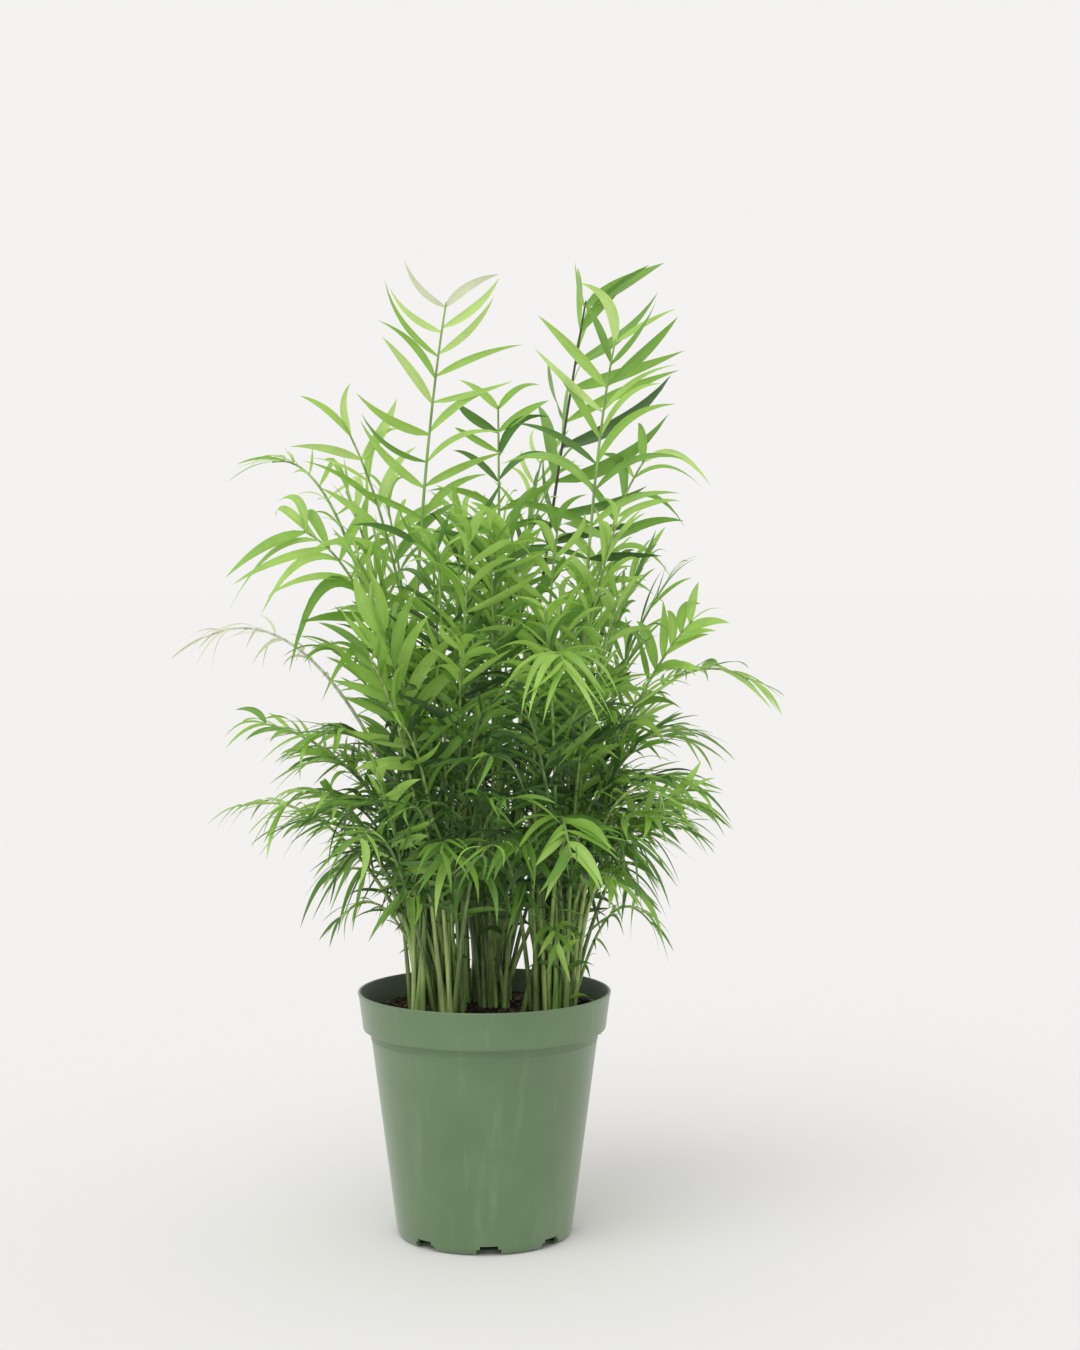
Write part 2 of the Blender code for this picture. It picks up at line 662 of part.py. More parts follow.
def draw_leaflet(bm, flank, frond, place, hand, surfaces):
    """One leaflet, unless every way of turning it would touch another piece."""
    near_ring, far_ring = [rib_ring(frond, end) for end in place["ends"]]
    margin = 1 if hand == 1 else 0
    root = (near_ring[margin], far_ring[margin], (near_ring[2] + far_ring[2]) / 2)
    for change in LEAFLET_TRIES:
        sections, tip = leaflet_shape(frond, place, hand, change)
        whole = leaflet_surface(root, sections, tip, 0)
        clear = leaflet_surface(root, sections, tip, TEST_START)
        if not surfaces.touches(frond["name"], whole, clear):
            break
    else:
        frond["skipped"] += 1
        return
    surfaces.add(frond["name"], whole, clear)
    places = (near_ring[margin], far_ring[margin], near_ring[2], far_ring[2])
    roles = [nearest(places, v.co) for v in flank.verts]
    near, far, keel = sections[0]
    end = draw_out(bm, flank, [(near, far, keel, keel)[role] for role in roles])
    corners = dict(zip(roles, end.verts))
    bmesh.ops.weld_verts(bm, targetmap={corners[3]: corners[2]})
    for section in sections[1:]:
        roles = [nearest(sections[0], v.co) for v in end.verts]
        end = draw_out(bm, end, [section[role] for role in roles])
    point = bmesh.ops.poke(bm, faces=[end])["verts"][0]
    point.co = tip


def nearest(points, place):
    return min(range(len(points)), key=lambda i: (points[i] - place).length)


def rib_surface(frond):
    """The rib for the touch test, thicker than it is made."""
    points = []
    shares = rib_shares(frond)
    for share in shares:
        centre = on_curve(frond["curve"], share)
        points += [centre + (corner - centre) * RIB_TEST_SWELL for corner in rib_ring(frond, share)]
    return points, ring_faces(len(shares))


def made_surface(obj):
    mesh = obj.evaluated_get(bpy.context.evaluated_depsgraph_get()).to_mesh()
    return [v.co.copy() for v in mesh.vertices], [tuple(p.vertices) for p in mesh.polygons]


def build_fronds(stems, home):
    fronds = frond_plan(stems)
    settle_ribs(fronds, stems)
    surfaces = Surfaces()
    bpy.context.view_layer.update()
    for obj in home.objects:
        surface = made_surface(obj)
        surfaces.add(obj.name, surface, surface)
    for frond in fronds:
        frond["skipped"] = 0
        surface = rib_surface(frond)
        surfaces.add(frond["name"], surface, surface)
    for frond in fronds:
        new_object(frond["name"], frond_mesh(frond, surfaces), home, "frond_green")
    tight = [(f["name"], round(f["room"] / MM, 2)) for f in fronds if f["room"] <= 0]
    print("leaflets left out:", sum(f["skipped"] for f in fronds), "ribs too close:", tight)


def main():
    clear_scene()
    palm = collection("parlour_palm")
    cutters = collection("cutters")
    build_pot(palm, cutters)
    build_soil(palm)
    stems = stem_plan()
    for stem in stems:
        build_stem(stem, palm)
    build_fronds(stems, palm)


main()
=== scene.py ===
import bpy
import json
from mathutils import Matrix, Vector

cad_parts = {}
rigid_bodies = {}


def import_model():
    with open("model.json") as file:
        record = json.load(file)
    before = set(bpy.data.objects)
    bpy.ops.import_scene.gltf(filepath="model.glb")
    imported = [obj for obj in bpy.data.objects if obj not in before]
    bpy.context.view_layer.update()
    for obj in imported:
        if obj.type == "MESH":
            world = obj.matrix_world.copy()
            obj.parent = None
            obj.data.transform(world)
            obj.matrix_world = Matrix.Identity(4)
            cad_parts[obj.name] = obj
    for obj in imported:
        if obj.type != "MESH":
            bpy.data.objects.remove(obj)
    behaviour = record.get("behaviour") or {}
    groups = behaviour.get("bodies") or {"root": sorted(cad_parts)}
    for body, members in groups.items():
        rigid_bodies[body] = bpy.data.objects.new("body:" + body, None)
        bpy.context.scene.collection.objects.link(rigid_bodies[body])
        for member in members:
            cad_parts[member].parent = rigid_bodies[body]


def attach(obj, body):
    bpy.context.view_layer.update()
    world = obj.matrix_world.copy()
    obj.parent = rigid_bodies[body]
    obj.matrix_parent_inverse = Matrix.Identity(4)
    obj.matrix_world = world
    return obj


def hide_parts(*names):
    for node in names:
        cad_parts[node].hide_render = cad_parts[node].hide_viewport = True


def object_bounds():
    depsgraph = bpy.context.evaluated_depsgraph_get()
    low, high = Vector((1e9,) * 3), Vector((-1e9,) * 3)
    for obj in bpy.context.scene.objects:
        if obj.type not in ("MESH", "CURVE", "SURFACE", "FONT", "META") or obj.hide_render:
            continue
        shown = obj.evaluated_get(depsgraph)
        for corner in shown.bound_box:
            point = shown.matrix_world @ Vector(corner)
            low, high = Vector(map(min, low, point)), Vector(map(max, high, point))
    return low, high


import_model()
cadBox = [list(corner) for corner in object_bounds()]

import json
import math
import random

import bmesh
import bpy
import numpy as np
from mathutils import Matrix, Vector, noise

mm = 0.001
gap = 0.3 * mm  # the same small gap as in the solids
goldenAngle = math.radians(137.508)
goldenShare = 0.618


def mix(low, high, share):
    return low + (high - low) * share


def ease(share):
    share = min(max(share, 0), 1)
    return share * share * (3 - 2 * share)


# materials

white = (1, 1, 1)


def newMaterial(name, roughness, specular=0.5):
    material = bpy.data.materials.new(name)
    material.use_nodes = True
    shader = material.node_tree.nodes["Principled BSDF"]
    shader.inputs["Roughness"].default_value = roughness
    shader.inputs["Specular IOR Level"].default_value = specular
    return material, material.node_tree, shader


def addNode(tree, kind, links=None, **settings):
    node = tree.nodes.new(kind)
    for key, value in settings.items():
        if hasattr(node, key):
            setattr(node, key, value)
        else:
            node.inputs[key].default_value = value
    for socket, source in (links or {}).items():
        tree.links.new(source, node.inputs[socket])
    return node


def colourRamp(tree, factor, stops):
    ramp = addNode(tree, "ShaderNodeValToRGB", {"Fac": factor})
    while len(ramp.color_ramp.elements) < len(stops):
        ramp.color_ramp.elements.new(0.5)
    for element, (place, colour) in zip(ramp.color_ramp.elements, stops):
        element.position = place
        element.color = (*colour, 1)
    return ramp.outputs["Color"]


def shade(colour, factor):
    return tuple(min(1, channel * factor) for channel in colour)


def toneRamp(tree, factor, colour, stops):
    # each stop is a place on the ramp and how bright the colour is there
    return colourRamp(tree, factor, [(place, shade(colour, bright)) for place, bright in stops])


def noisePattern(tree, stretch=None, **settings):
    # noise in the piece's own space, finer along an axis with a larger stretch
    place = addNode(tree, "ShaderNodeTexCoord").outputs["Object"]
    if stretch:
        place = addNode(tree, "ShaderNodeMapping", {"Vector": place}, Scale=stretch).outputs[0]
    return addNode(tree, "ShaderNodeTexNoise", {"Vector": place}, **settings).outputs["Fac"]


def blendColours(tree, factor, first, second):
    blend = addNode(tree, "ShaderNodeMix", {"Factor": factor, 6: first}, data_type="RGBA")
    blend.inputs[7].default_value = (*second, 1)
    return blend.outputs[2]


def finishSurface(tree, shader, colour, height, strength, depth):
    tree.links.new(colour, shader.inputs["Base Color"])
    bump = addNode(tree, "ShaderNodeBump", {"Height": height}, Strength=strength, Distance=depth)
    tree.links.new(bump.outputs["Normal"], shader.inputs["Normal"])


# pot

pot = dict(
    rimRadius=77.5 * mm,
    height=150 * mm,
    wall=1.6 * mm,
    bandHeight=23 * mm,
    bandFootRadius=74.5 * mm,
    bandEdge=1.2 * mm,
    bandShares=(0.12, 0.2, 0.5, 0.8),
    bandWaist=0.25 * mm,
    neckRadius=70 * mm,
    neckStep=(0.5 * mm, 0.8 * mm),
    ring=((5, 0), (5.8, 0.35), (6.6, 0)),  # mm below the collar, and mm that it stands out
    wallHeights=(100, 80, 60, 40, 20),
    footRadius=53.5 * mm,
    footRounding=5 * mm,
    footRing=2 * mm,  # width of the ring it stands on, inside the rounding
    hollowEdge=3.5 * mm,
    hollowDepth=0.4 * mm,
    lipRounding=0.8 * mm,
    steps=144,
    drainHoles=8,
    drainWidth=15 * mm,
    drainHeight=6 * mm,
    drainCorner=2 * mm,
    drainFirstAngle=math.radians(-86),
    sharpAngle=math.radians(35),
    colour=(0.118, 0.196, 0.092),
    # painted shade: a darker copy of the pot's colour for the inner wall
    innerPaintedShade=(0.062, 0.105, 0.05),
    cloudTones=((0.32, 0.9), (0.68, 1.09)),
    roughness=((0.3, 0.36), (0.7, 0.5)),
    dust=(0.34, 0.4, 0.3),
    dustAmount=((0.56, 0), (0.8, 0.3)),
    dustStretch=(38, 38, 5),
    dustSheen=0.35,
)
neckHeight = pot["height"] - pot["bandHeight"]
soil = dict(
    level=138 * mm,
    flatRadius=64 * mm,
    edgeDrop=2 * mm,
    sunk=0.9 * mm,
    coarseLumps=(70, 1.1),  # how fine they are, and how high in mm
    fineLumps=(230, 0.5),
    rings=36,
    sides=96,
    bodyLow=11 * mm,
    bodyFoot=(2 * mm, 43 * mm),
    crumbs={"count": 1500, "margin": 2.5 * mm, "sizes": (0.5, 1.7), "lift": 0, "flatness": 1},
    chips={"count": 170, "margin": 6 * mm, "sizes": (1.6, 3.6), "lift": 0.5 * mm, "flatness": 0.36},
    colour=(0.02, 0.015, 0.011),
    dryColour=(0.06, 0.042, 0.028),
    barkColours=((0.35, (0.03, 0.018, 0.011)), (0.68, (0.115, 0.072, 0.042))),
)


def wallRadius(height):
    return mix(pot["footRadius"], pot["neckRadius"], height / neckHeight)


def arcPoints(centre, radius, start, end, count):
    angles = [math.radians(mix(start, end, i / (count - 1))) for i in range(count)]
    return [(centre[0] + radius * math.cos(a), centre[1] + radius * math.sin(a)) for a in angles]


def addPiece(name, mesh, material=None):
    if material:
        mesh.materials.append(material)
    piece = bpy.data.objects.new(name, mesh)
    bpy.context.scene.collection.objects.link(piece)
    return piece


def meshFrom(name, bm):
    mesh = bpy.data.meshes.new(name)
    bm.to_mesh(mesh)
    bm.free()
    return mesh


def turnedPiece(name, profile, steps):
    mesh = bpy.data.meshes.new(name)
    edges = [(i, i + 1) for i in range(len(profile) - 1)]
    mesh.from_pydata([(r, 0, z) for r, z in profile], edges, [])
    piece = addPiece(name, mesh)
    screw = piece.modifiers.new("turn", "SCREW")
    screw.steps = screw.render_steps = steps
    screw.use_merge_vertices = True
    screw.merge_threshold = 0.05 * mm
    return piece


def applyAll(piece):
    graph = bpy.context.evaluated_depsgraph_get()
    mesh = bpy.data.meshes.new_from_object(piece.evaluated_get(graph))
    piece.modifiers.clear()
    piece.data = mesh


def potProfile():
    wall, edge, rounding = pot["wall"], pot["bandEdge"], pot["footRounding"]
    lip = (pot["rimRadius"] - pot["lipRounding"], pot["height"] - pot["lipRounding"])
    foot = (wallRadius(rounding) - rounding, rounding)
    outside = arcPoints(lip, pot["lipRounding"], 180, 0, 9)
    # the collar draws in a little under the lip and ends in a soft step
    for share in pot["bandShares"]:
        radius = mix(pot["rimRadius"], pot["bandFootRadius"], share)
        outside.append((radius - pot["bandWaist"] * ease(share * 4), mix(pot["height"], neckHeight, share)))
    outside += arcPoints((pot["bandFootRadius"] - edge, neckHeight + edge), edge, 0, -90, 5)
    out, down = pot["neckStep"]
    outside += [(pot["neckRadius"] + out, neckHeight), (pot["neckRadius"], neckHeight - down)]
    # one faint moulded ring below the collar
    for offset, rise in pot["ring"]:
        height = neckHeight - offset * mm
        outside.append((wallRadius(height) + rise * mm, height))
    outside += [(wallRadius(h * mm), h * mm) for h in pot["wallHeights"]]
    outside += arcPoints(foot, rounding, 0, -90, 8)
    hollow = pot["hollowDepth"]
    under = [(foot[0] - pot["footRing"], 0), (foot[0] - pot["hollowEdge"], hollow), (0, hollow), (0, wall)]
    inside = [(foot[0], wall), (wallRadius(rounding) - wall, rounding)]
    inside += [(pot["neckRadius"] - wall, neckHeight), (pot["bandFootRadius"] - wall, neckHeight + 2 * wall)]
    return outside + under + inside + [outside[0]]


def collarInside(height):
    low, top = neckHeight + 2 * pot["wall"], pot["height"] - pot["lipRounding"]
    lipRadius = pot["rimRadius"] - 2 * pot["lipRounding"]
    return mix(pot["bandFootRadius"] - pot["wall"], lipRadius, (height - low) / (top - low))


def potMaterial(name, colour):
    material, tree, shader = newMaterial(name, 0.42)
    shader.inputs["Sheen Weight"].default_value = pot["dustSheen"]
    shader.inputs["Sheen Roughness"].default_value = 0.45
    clouds = noisePattern(tree, Scale=16, Detail=5, Roughness=0.6)
    tone = toneRamp(tree, clouds, colour, pot["cloudTones"])
    tree.links.new(toneRamp(tree, clouds, white, pot["roughness"]), shader.inputs["Roughness"])
    # dust and scuffs: a few long pale upright wipes
    wipes = noisePattern(tree, pot["dustStretch"], Scale=1.6, Detail=6, Roughness=0.7)
    dusty = blendColours(tree, toneRamp(tree, wipes, white, pot["dustAmount"]), tone, pot["dust"])
    finishSurface(tree, shader, dusty, noisePattern(tree, Scale=420, Detail=3), 0.12, 0.3 * mm)
    return material


def drainCutters():
    blocks = bpy.data.collections.new("drain_cutters")
    size = (3 * pot["footRounding"], pot["drainWidth"], 2 * pot["drainHeight"])
    for i in range(pot["drainHoles"]):
        turn = pot["drainFirstAngle"] + i * math.tau / pot["drainHoles"]
        bm = bmesh.new()
        bmesh.ops.create_cube(bm, size=1)
        bmesh.ops.scale(bm, verts=bm.verts, vec=size)
        upper = [e for e in bm.edges if all(v.co.z > 0 for v in e.verts)]
        corners = [e for e in upper if e.verts[0].co.y == e.verts[1].co.y]
        bmesh.ops.bevel(bm, geom=corners, offset=pot["drainCorner"], segments=4, affect="EDGES")
        block = bpy.data.objects.new("drain_cutter", meshFrom("drain_cutter", bm))
        block.location = (pot["footRadius"] * math.cos(turn), pot["footRadius"] * math.sin(turn), 0)
        block.rotation_euler = (0, 0, turn)
        blocks.objects.link(block)
    return blocks


def makePot():
    piece = turnedPiece("pot_shell", potProfile(), pot["steps"])
    blocks = drainCutters()
    bpy.context.scene.collection.children.link(blocks)
    cut = piece.modifiers.new("drains", "BOOLEAN")
    cut.operation = "DIFFERENCE"
    cut.operand_type = "COLLECTION"
    cut.collection = blocks
    cut.solver = "EXACT"
    bpy.context.view_layer.update()
    applyAll(piece)
    for block in list(blocks.objects):
        bpy.data.objects.remove(block)
    bpy.data.collections.remove(blocks)
    piece.data.shade_smooth()
    piece.data.set_sharp_from_angle(angle=pot["sharpAngle"])
    piece.data.materials.clear()
    piece.data.materials.append(potMaterial("pot_plastic", pot["colour"]))
    piece.data.materials.append(potMaterial("pot_inside_painted_shade", pot["innerPaintedShade"]))
    # painted shade: faces of the inner wall take the darker inside material
    for face in piece.data.polygons:
        out = face.center.to_2d().normalized()
        inside = face.normal.to_2d().dot(out) < -0.5 and face.center.z > pot["wall"]
        face.material_index = 1 if inside else 0
    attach(piece, "root")
    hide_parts("pot")
    print("pot made")


# soil

def soilMaterial():
    material, tree, shader = newMaterial("potting_mix", 0.95, 0.2)
    clods = noisePattern(tree, Scale=260, Detail=6)
    colour = soil["colour"]
    stops = [(0.35, shade(colour, 0.5)), (0.55, shade(colour, 1.3)), (0.72, soil["dryColour"])]
    finishSurface(tree, shader, colourRamp(tree, clods, stops), clods, 0.8, 1 * mm)
    return material


def barkMaterial():
    material, tree, shader = newMaterial("bark_chips", 0.85, 0.25)
    grain = noisePattern(tree, Scale=190, Detail=5)
    tree.links.new(colourRamp(tree, grain, soil["barkColours"]), shader.inputs["Base Color"])
    return material


def soilHeight(x, y):
    edge = collarInside(soil["level"] - soil["edgeDrop"])
    slope = max(0, math.hypot(x, y) - soil["flatRadius"]) / (edge - soil["flatRadius"])
    (coarse, coarseRise), (fine, fineRise) = soil["coarseLumps"], soil["fineLumps"]
    lumps = noise.noise(Vector((x, y, 0)) * coarse) * coarseRise
    lumps += noise.noise(Vector((x, y, 0.1)) * fine) * fineRise
    return soil["level"] - soil["edgeDrop"] * slope - soil["sunk"] + lumps * mm


def soilRing(reach, height=None):
    # points round the pot's axis, on the soil's surface where no height is given
    turns = [k * math.tau / soil["sides"] for k in range(soil["sides"])]
    spots = [(reach * math.cos(turn), reach * math.sin(turn)) for turn in turns]
    return [(x, y, soilHeight(x, y) if height is None else height) for x, y in spots]


def addRing(bm, last, points):
    # joins a new ring to the last one, which may be a single middle point
    ring = [bm.verts.new(point) for point in points]
    for k, vert in enumerate(ring):
        after = (k + 1) % len(ring)
        if len(last) == 1:
            bm.faces.new((last[0], vert, ring[after]))
        else:
            bm.faces.new((last[k], vert, ring[after], last[after]))
    return ring


def addClod(bm, dice, place, radius, flatness):
    made = bmesh.ops.create_icosphere(bm, subdivisions=1, radius=radius)
    turn = Matrix.Rotation(dice.uniform(0, math.tau), 3, "Z")
    turn = turn @ Matrix.Rotation(dice.uniform(-0.5, 0.5), 3, "X")
    long = dice.uniform(0.8, 1.5)
    for vert in made["verts"]:
        jitter = 1 + dice.uniform(-0.28, 0.28)
        local = Vector((vert.co.x * long, vert.co.y / long, vert.co.z * flatness)) * jitter
        vert.co = turn @ local + Vector(place)


def scatterClods(name, dice, edge, looks, material):
    bm = bmesh.new()
    for _ in range(looks["count"]):
        away = (edge - looks["margin"]) * math.sqrt(dice.random())
        turn = dice.uniform(0, math.tau)
        x, y = away * math.cos(turn), away * math.sin(turn)
        radius = dice.uniform(*looks["sizes"]) * mm
        addClod(bm, dice, (x, y, soilHeight(x, y) + looks["lift"]), radius, looks["flatness"])
    return addPiece(name, meshFrom(name, bm), material)


def makeSoil():
    edge = collarInside(soil["level"] - soil["edgeDrop"]) - gap
    bm = bmesh.new()
    last = [bm.verts.new((0, 0, soilHeight(0, 0)))]
    for i in range(1, soil["rings"] + 1):
        last = addRing(bm, last, soilRing(edge * i / soil["rings"]))
    # the body of the mix steps in below the collar and goes down to the pot's floor
    wall, low = pot["wall"], soil["bodyLow"]
    shelf = neckHeight + 2 * wall + 1.5 * gap
    last = addRing(bm, last, soilRing(collarInside(shelf) - 2 * gap, shelf))
    last = addRing(bm, last, soilRing(pot["neckRadius"] - wall - 2 * gap, neckHeight + gap))
    last = addRing(bm, last, soilRing(wallRadius(low) - wall - gap, low))
    footHeight, footReach = soil["bodyFoot"]
    last = addRing(bm, last, soilRing(footReach, footHeight))
    bm.faces.new(reversed(last))
    bmesh.ops.recalc_face_normals(bm, faces=bm.faces)
    material = soilMaterial()
    bed = addPiece("soil_bed", meshFrom("soil_bed", bm), material)
    bed.data.shade_smooth()
    dice = random.Random(11)
    crumbs = scatterClods("soil_crumbs", dice, edge, soil["crumbs"], material)
    chips = scatterClods("bark_chips", dice, edge, soil["chips"], barkMaterial())
    for piece in (bed, crumbs, chips):
        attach(piece, "root")
    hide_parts("potting_soil")
    print("soil made")


# stems, by the same rule as the solids

stemRule = dict(
    clumps={
        "left": (-25 * mm, -10 * mm, 5, 14 * mm),
        "middle": (2 * mm, 20 * mm, 4, 14 * mm),
        "right": (44 * mm, 0, 5, 14 * mm),
    },
    clumpTurn=0.3,
    footRadius=2.8 * mm,
    radius=2.1 * mm,
    tipRadius=1.7 * mm,
    flareHeight=7 * mm,
    shortest=40 * mm,
    longest=72 * mm,
    splay=0.44,
    lean=0.1,
    bends=3,
    seats=(1, 0.66, 0.84, 0.48, 0.3, 0.75, 0.56, 0.38, 0.92, 0.22),
)


def planStems():
    stems = []
    for clump, (middleX, middleY, count, spread) in stemRule["clumps"].items():
        middle = Vector((middleX, middleY, 0))
        for k in range(count):
            away = spread * math.sqrt((k + 0.5) / count)
            turn = k * goldenAngle + stemRule["clumpTurn"]
            foot = middle + Vector((away * math.cos(turn), away * math.sin(turn), 0))
            share = ((k + 0.6) * goldenShare) % 1
            stems.append({
                "name": f"stem_{clump}_{k + 1}",
                "clump": clump,
                "foot": foot,
                "height": mix(stemRule["shortest"], stemRule["longest"], share),
                "splay": (foot - middle) * stemRule["splay"] + foot * stemRule["lean"],
                "fronds": 0,
            })
    return stems


def stemPoint(stem, share):
    flare = stemRule["flareHeight"] / stem["height"]
    bend = max(0, share - flare) / (1 - flare)
    rise = soil["level"] + gap + stem["height"] * share
    return stem["foot"] + stem["splay"] * bend ** 1.5 + Vector((0, 0, rise))


def stemRadius(stem, share):
    flare = max(0, 1 - stem["height"] * share / stemRule["flareHeight"])
    taper = mix(stemRule["radius"], stemRule["tipRadius"], share)
    return taper + (stemRule["footRadius"] - stemRule["radius"]) * flare


def stemShares(stem):
    flare = stemRule["flareHeight"] / stem["height"]
    return [0] + [flare + (1 - flare) * i / stemRule["bends"] for i in range(stemRule["bends"] + 1)]


# fronds, by the same rule as the solids, and then carried on

# the tip in mm, and the bend point's height above it (crest) and share of the way out to it (lean);
# how far the blade turns to the viewer; lift and tipAngle of the leaflets in degrees, their tint
# from 0 to 5, and their width, size and droop as shares of the usual
frondColumns = ("clump", "x", "y", "z", "crest", "lean", "turnedFront", "lift", "tintStep", "width", "size",
                "tipAngle", "droop")
outlineFronds = (
    ("left", -22, -24, 565, -130, 0.1, 1, 18, 5, 0.95, 1, 44, 0.2),
    ("left", -132, 34, 474, 12, 0.4, 0.2, 18, 4, 0.7, 0.75, 36, 1),
    ("left", -106, -34, 430, -24, 0.38, 0.5, 8, 4, 0.9, 1.25, 40, 1.7),
    ("left", -172, 24, 366, 36, 0.48, 0, 10, 3, 0.6, 0.8, 36, 1.2),
    ("left", -134, -8, 314, -12, 0.42, 0.2, 18, 3, 0.95, 0.85, 34, 1),
    ("left", -118, -50, 266, 40, 0.52, 0, 10, 3, 1.3, 0.85, 34, 1.2),
    ("left", -90, -24, 222, 46, 0.5, 0, 10, 2, 1.1, 0.7, 34, 1),
    ("left", -58, -66, 372, -70, 0.28, 0.9, 22, 5, 1.55, 1, 10, 0.1),
    ("left", -80, -16, 488, -84, 0.24, 0.7, 18, 5, 1.15, 1, 36, 0.6),
    ("middle", 8, 34, 508, -90, 0.2, 0.9, 10, 4, 1.1, 1, 38, 1),
    ("middle", 62, 24, 571, -150, 0.5, 0.5, -38, 3, 1.1, 1.25, 44, 0.1),
    ("right", 79, -18, 544, -96, 0.2, 0.8, 12, 3.4, 0.88, 1.2, 32, 0.6),
    ("right", 48, -112, 352, 44, 0.46, 0, 6, 4, 1, 0.78, 36, 1.5),
    ("right", 52, -100, 244, 56, 0.5, 0, 6, 3, 1.5, 0.9, 34, 1),
    ("right", 126, -8, 376, -56, 0.3, 0.6, 24, 4, 1.4, 1, 24, 0.8),
    ("right", 162, 12, 340, 36, 0.5, 0, 10, 3, 0.9, 0.85, 36, 1.2),
    ("right", 122, -34, 276, -20, 0.4, 0.4, 18, 3, 1.1, 0.95, 30, 0.8),
    ("right", 118, 36, 256, 34, 0.5, 0, 10, 2, 1, 0.85, 34, 1),
    ("right", 92, -46, 214, 50, 0.52, 0, 6, 2, 1.1, 0.72, 34, 1),
    ("right", 98, 16, 474, -66, 0.26, 0.6, 12, 4, 1.05, 1.1, 36, 1.5),
    ("left", -58, -90, 288, -58, 0.32, 0.5, 24, 3.7, 1.15, 0.95, 16, 0.5),
    ("middle", 8, -72, 420, -30, 0.34, 0.3, 8, 4, 0.95, 1, 34, 1.3),
)
# young fronds from the soil, in the same terms, with no solid of their own
youngFronds = (
    ("left", -150, 6, 262, 20, 0.5, 0, 10, 3, 0.8, 0.85, 34, 1.2),
    ("left", -70, -84, 252, 24, 0.46, 0, 8, 3, 1, 0.85, 34, 1),
    ("right", 44, -52, 186, 30, 0.5, 0, 6, 4, 1.4, 0.75, 24, 1.1),
    ("right", 102, -12, 192, 36, 0.5, 0, 8, 2.4, 0.9, 0.62, 34, 1.4),
    ("left", -86, -30, 198, 34, 0.5, 0, 8, 2.4, 0.9, 0.62, 34, 1.2),
    ("middle", 26, -50, 216, 26, 0.5, 0, 8, 1.8, 1.5, 0.9, 34, 1.3),
    ("left", -16, -70, 240, 22, 0.46, 0, 8, 2.8, 1.5, 0.9, 34, 1.2),
    ("left", -44, -52, 214, 26, 0.46, 0, 8, 1.8, 1.4, 0.85, 34, 1.2),
    ("right", 76, -58, 224, 26, 0.46, 0, 8, 2.4, 1.4, 0.85, 34, 1.2),
    ("middle", 0, -58, 226, 30, 0.4, 0, 8, 1.4, 1.4, 0.85, 34, 1.4),
    ("right", 30, -64, 236, 24, 0.46, 0, 8, 1.6, 1.4, 0.85, 34, 1.3),
    ("right", 128, 14, 262, 20, 0.5, 0, 8, 3, 0.9, 0.85, 34, 1),
    ("right", 104, -60, 262, 10, 0.46, 0, 10, 3, 1.1, 0.95, 34, 1),
    ("middle", 6, -84, 300, 10, 0.4, 0, 8, 2, 0.9, 0.95, 34, 1.2),
)
frondRule = dict(
    count=44,  # as many as there are solids
    extra=96,  # finer company for them, inside the same reach
    skirt=26,  # wide low ones that hang out over the rim
    skirtBearings=(math.radians(-46), math.radians(226)),  # all but the front
    skirtHeights=(226 * mm, 312 * mm),
    skirtReach=(92 * mm, 140 * mm),
    skirtCrest=14 * mm,
    skirtTint=1.9,
    tipMargin=8 * mm,  # tips stay this far inside the solids' box
    evenSteps=(0.5497, 0.8192, 0.671),
    lowest=228 * mm,
    highest=484 * mm,
    extraLowest=224 * mm,
    extraHighest=440 * mm,
    extraRise=1.3,  # over 1 puts more of them low down
    shortestReach=0.45,
    longestReach=0.98,
    extraReach=0.96,
    fillLift=14,
    middleX=8 * mm,
    crowding=20 * mm,  # a stem loses this much of its lead for each frond that it has
    crownReach=((200, 92), (255, 122), (345, 108), (410, 122), (480, 84), (600, 36)),
    lowCrest=52 * mm,
    highCrest=-96 * mm,
    lowLean=0.5,
    highLean=0.18,
)
ribRule = dict(
    footRadius=1.4 * mm,
    bladeRadius=1.0 * mm,
    tipRadius=0.6 * mm,
    leastRise=45 * mm,
    lengthSteps=18,
    clearance=0.7 * mm,
    nudge=2.6 * mm,
    nudges=110,
    extraNudges=5,
    shootReach=(4 * mm, 9 * mm),  # how far from a stem's foot its young shoots rise
    footTurns=(0, 55, -55, 110, -110),
    seatSteps=8,
    stalkSteps=5,
    bladeShare=0.5,
    bladeShortest=90 * mm,
    bladeLongest=172 * mm,
    pairs=6,
    root=5 * mm,
)


def crownReach(height):
    heights, reaches = zip(*frondRule["crownReach"])
    return float(np.interp(height / mm, heights, reaches)) * mm


def plannedFrond(row, extra):
    frond = dict(zip(frondColumns, row), extra=extra)
    frond["tip"] = Vector([frond[axis] for axis in "xyz"]) * mm
    frond["crest"] *= mm
    frond["leafWidth"] = frond["width"] * leafletRule["outlineWidth"]
    frond["angles"] = (leafletRule["outlineAngle"], frond["tipAngle"])
    return frond


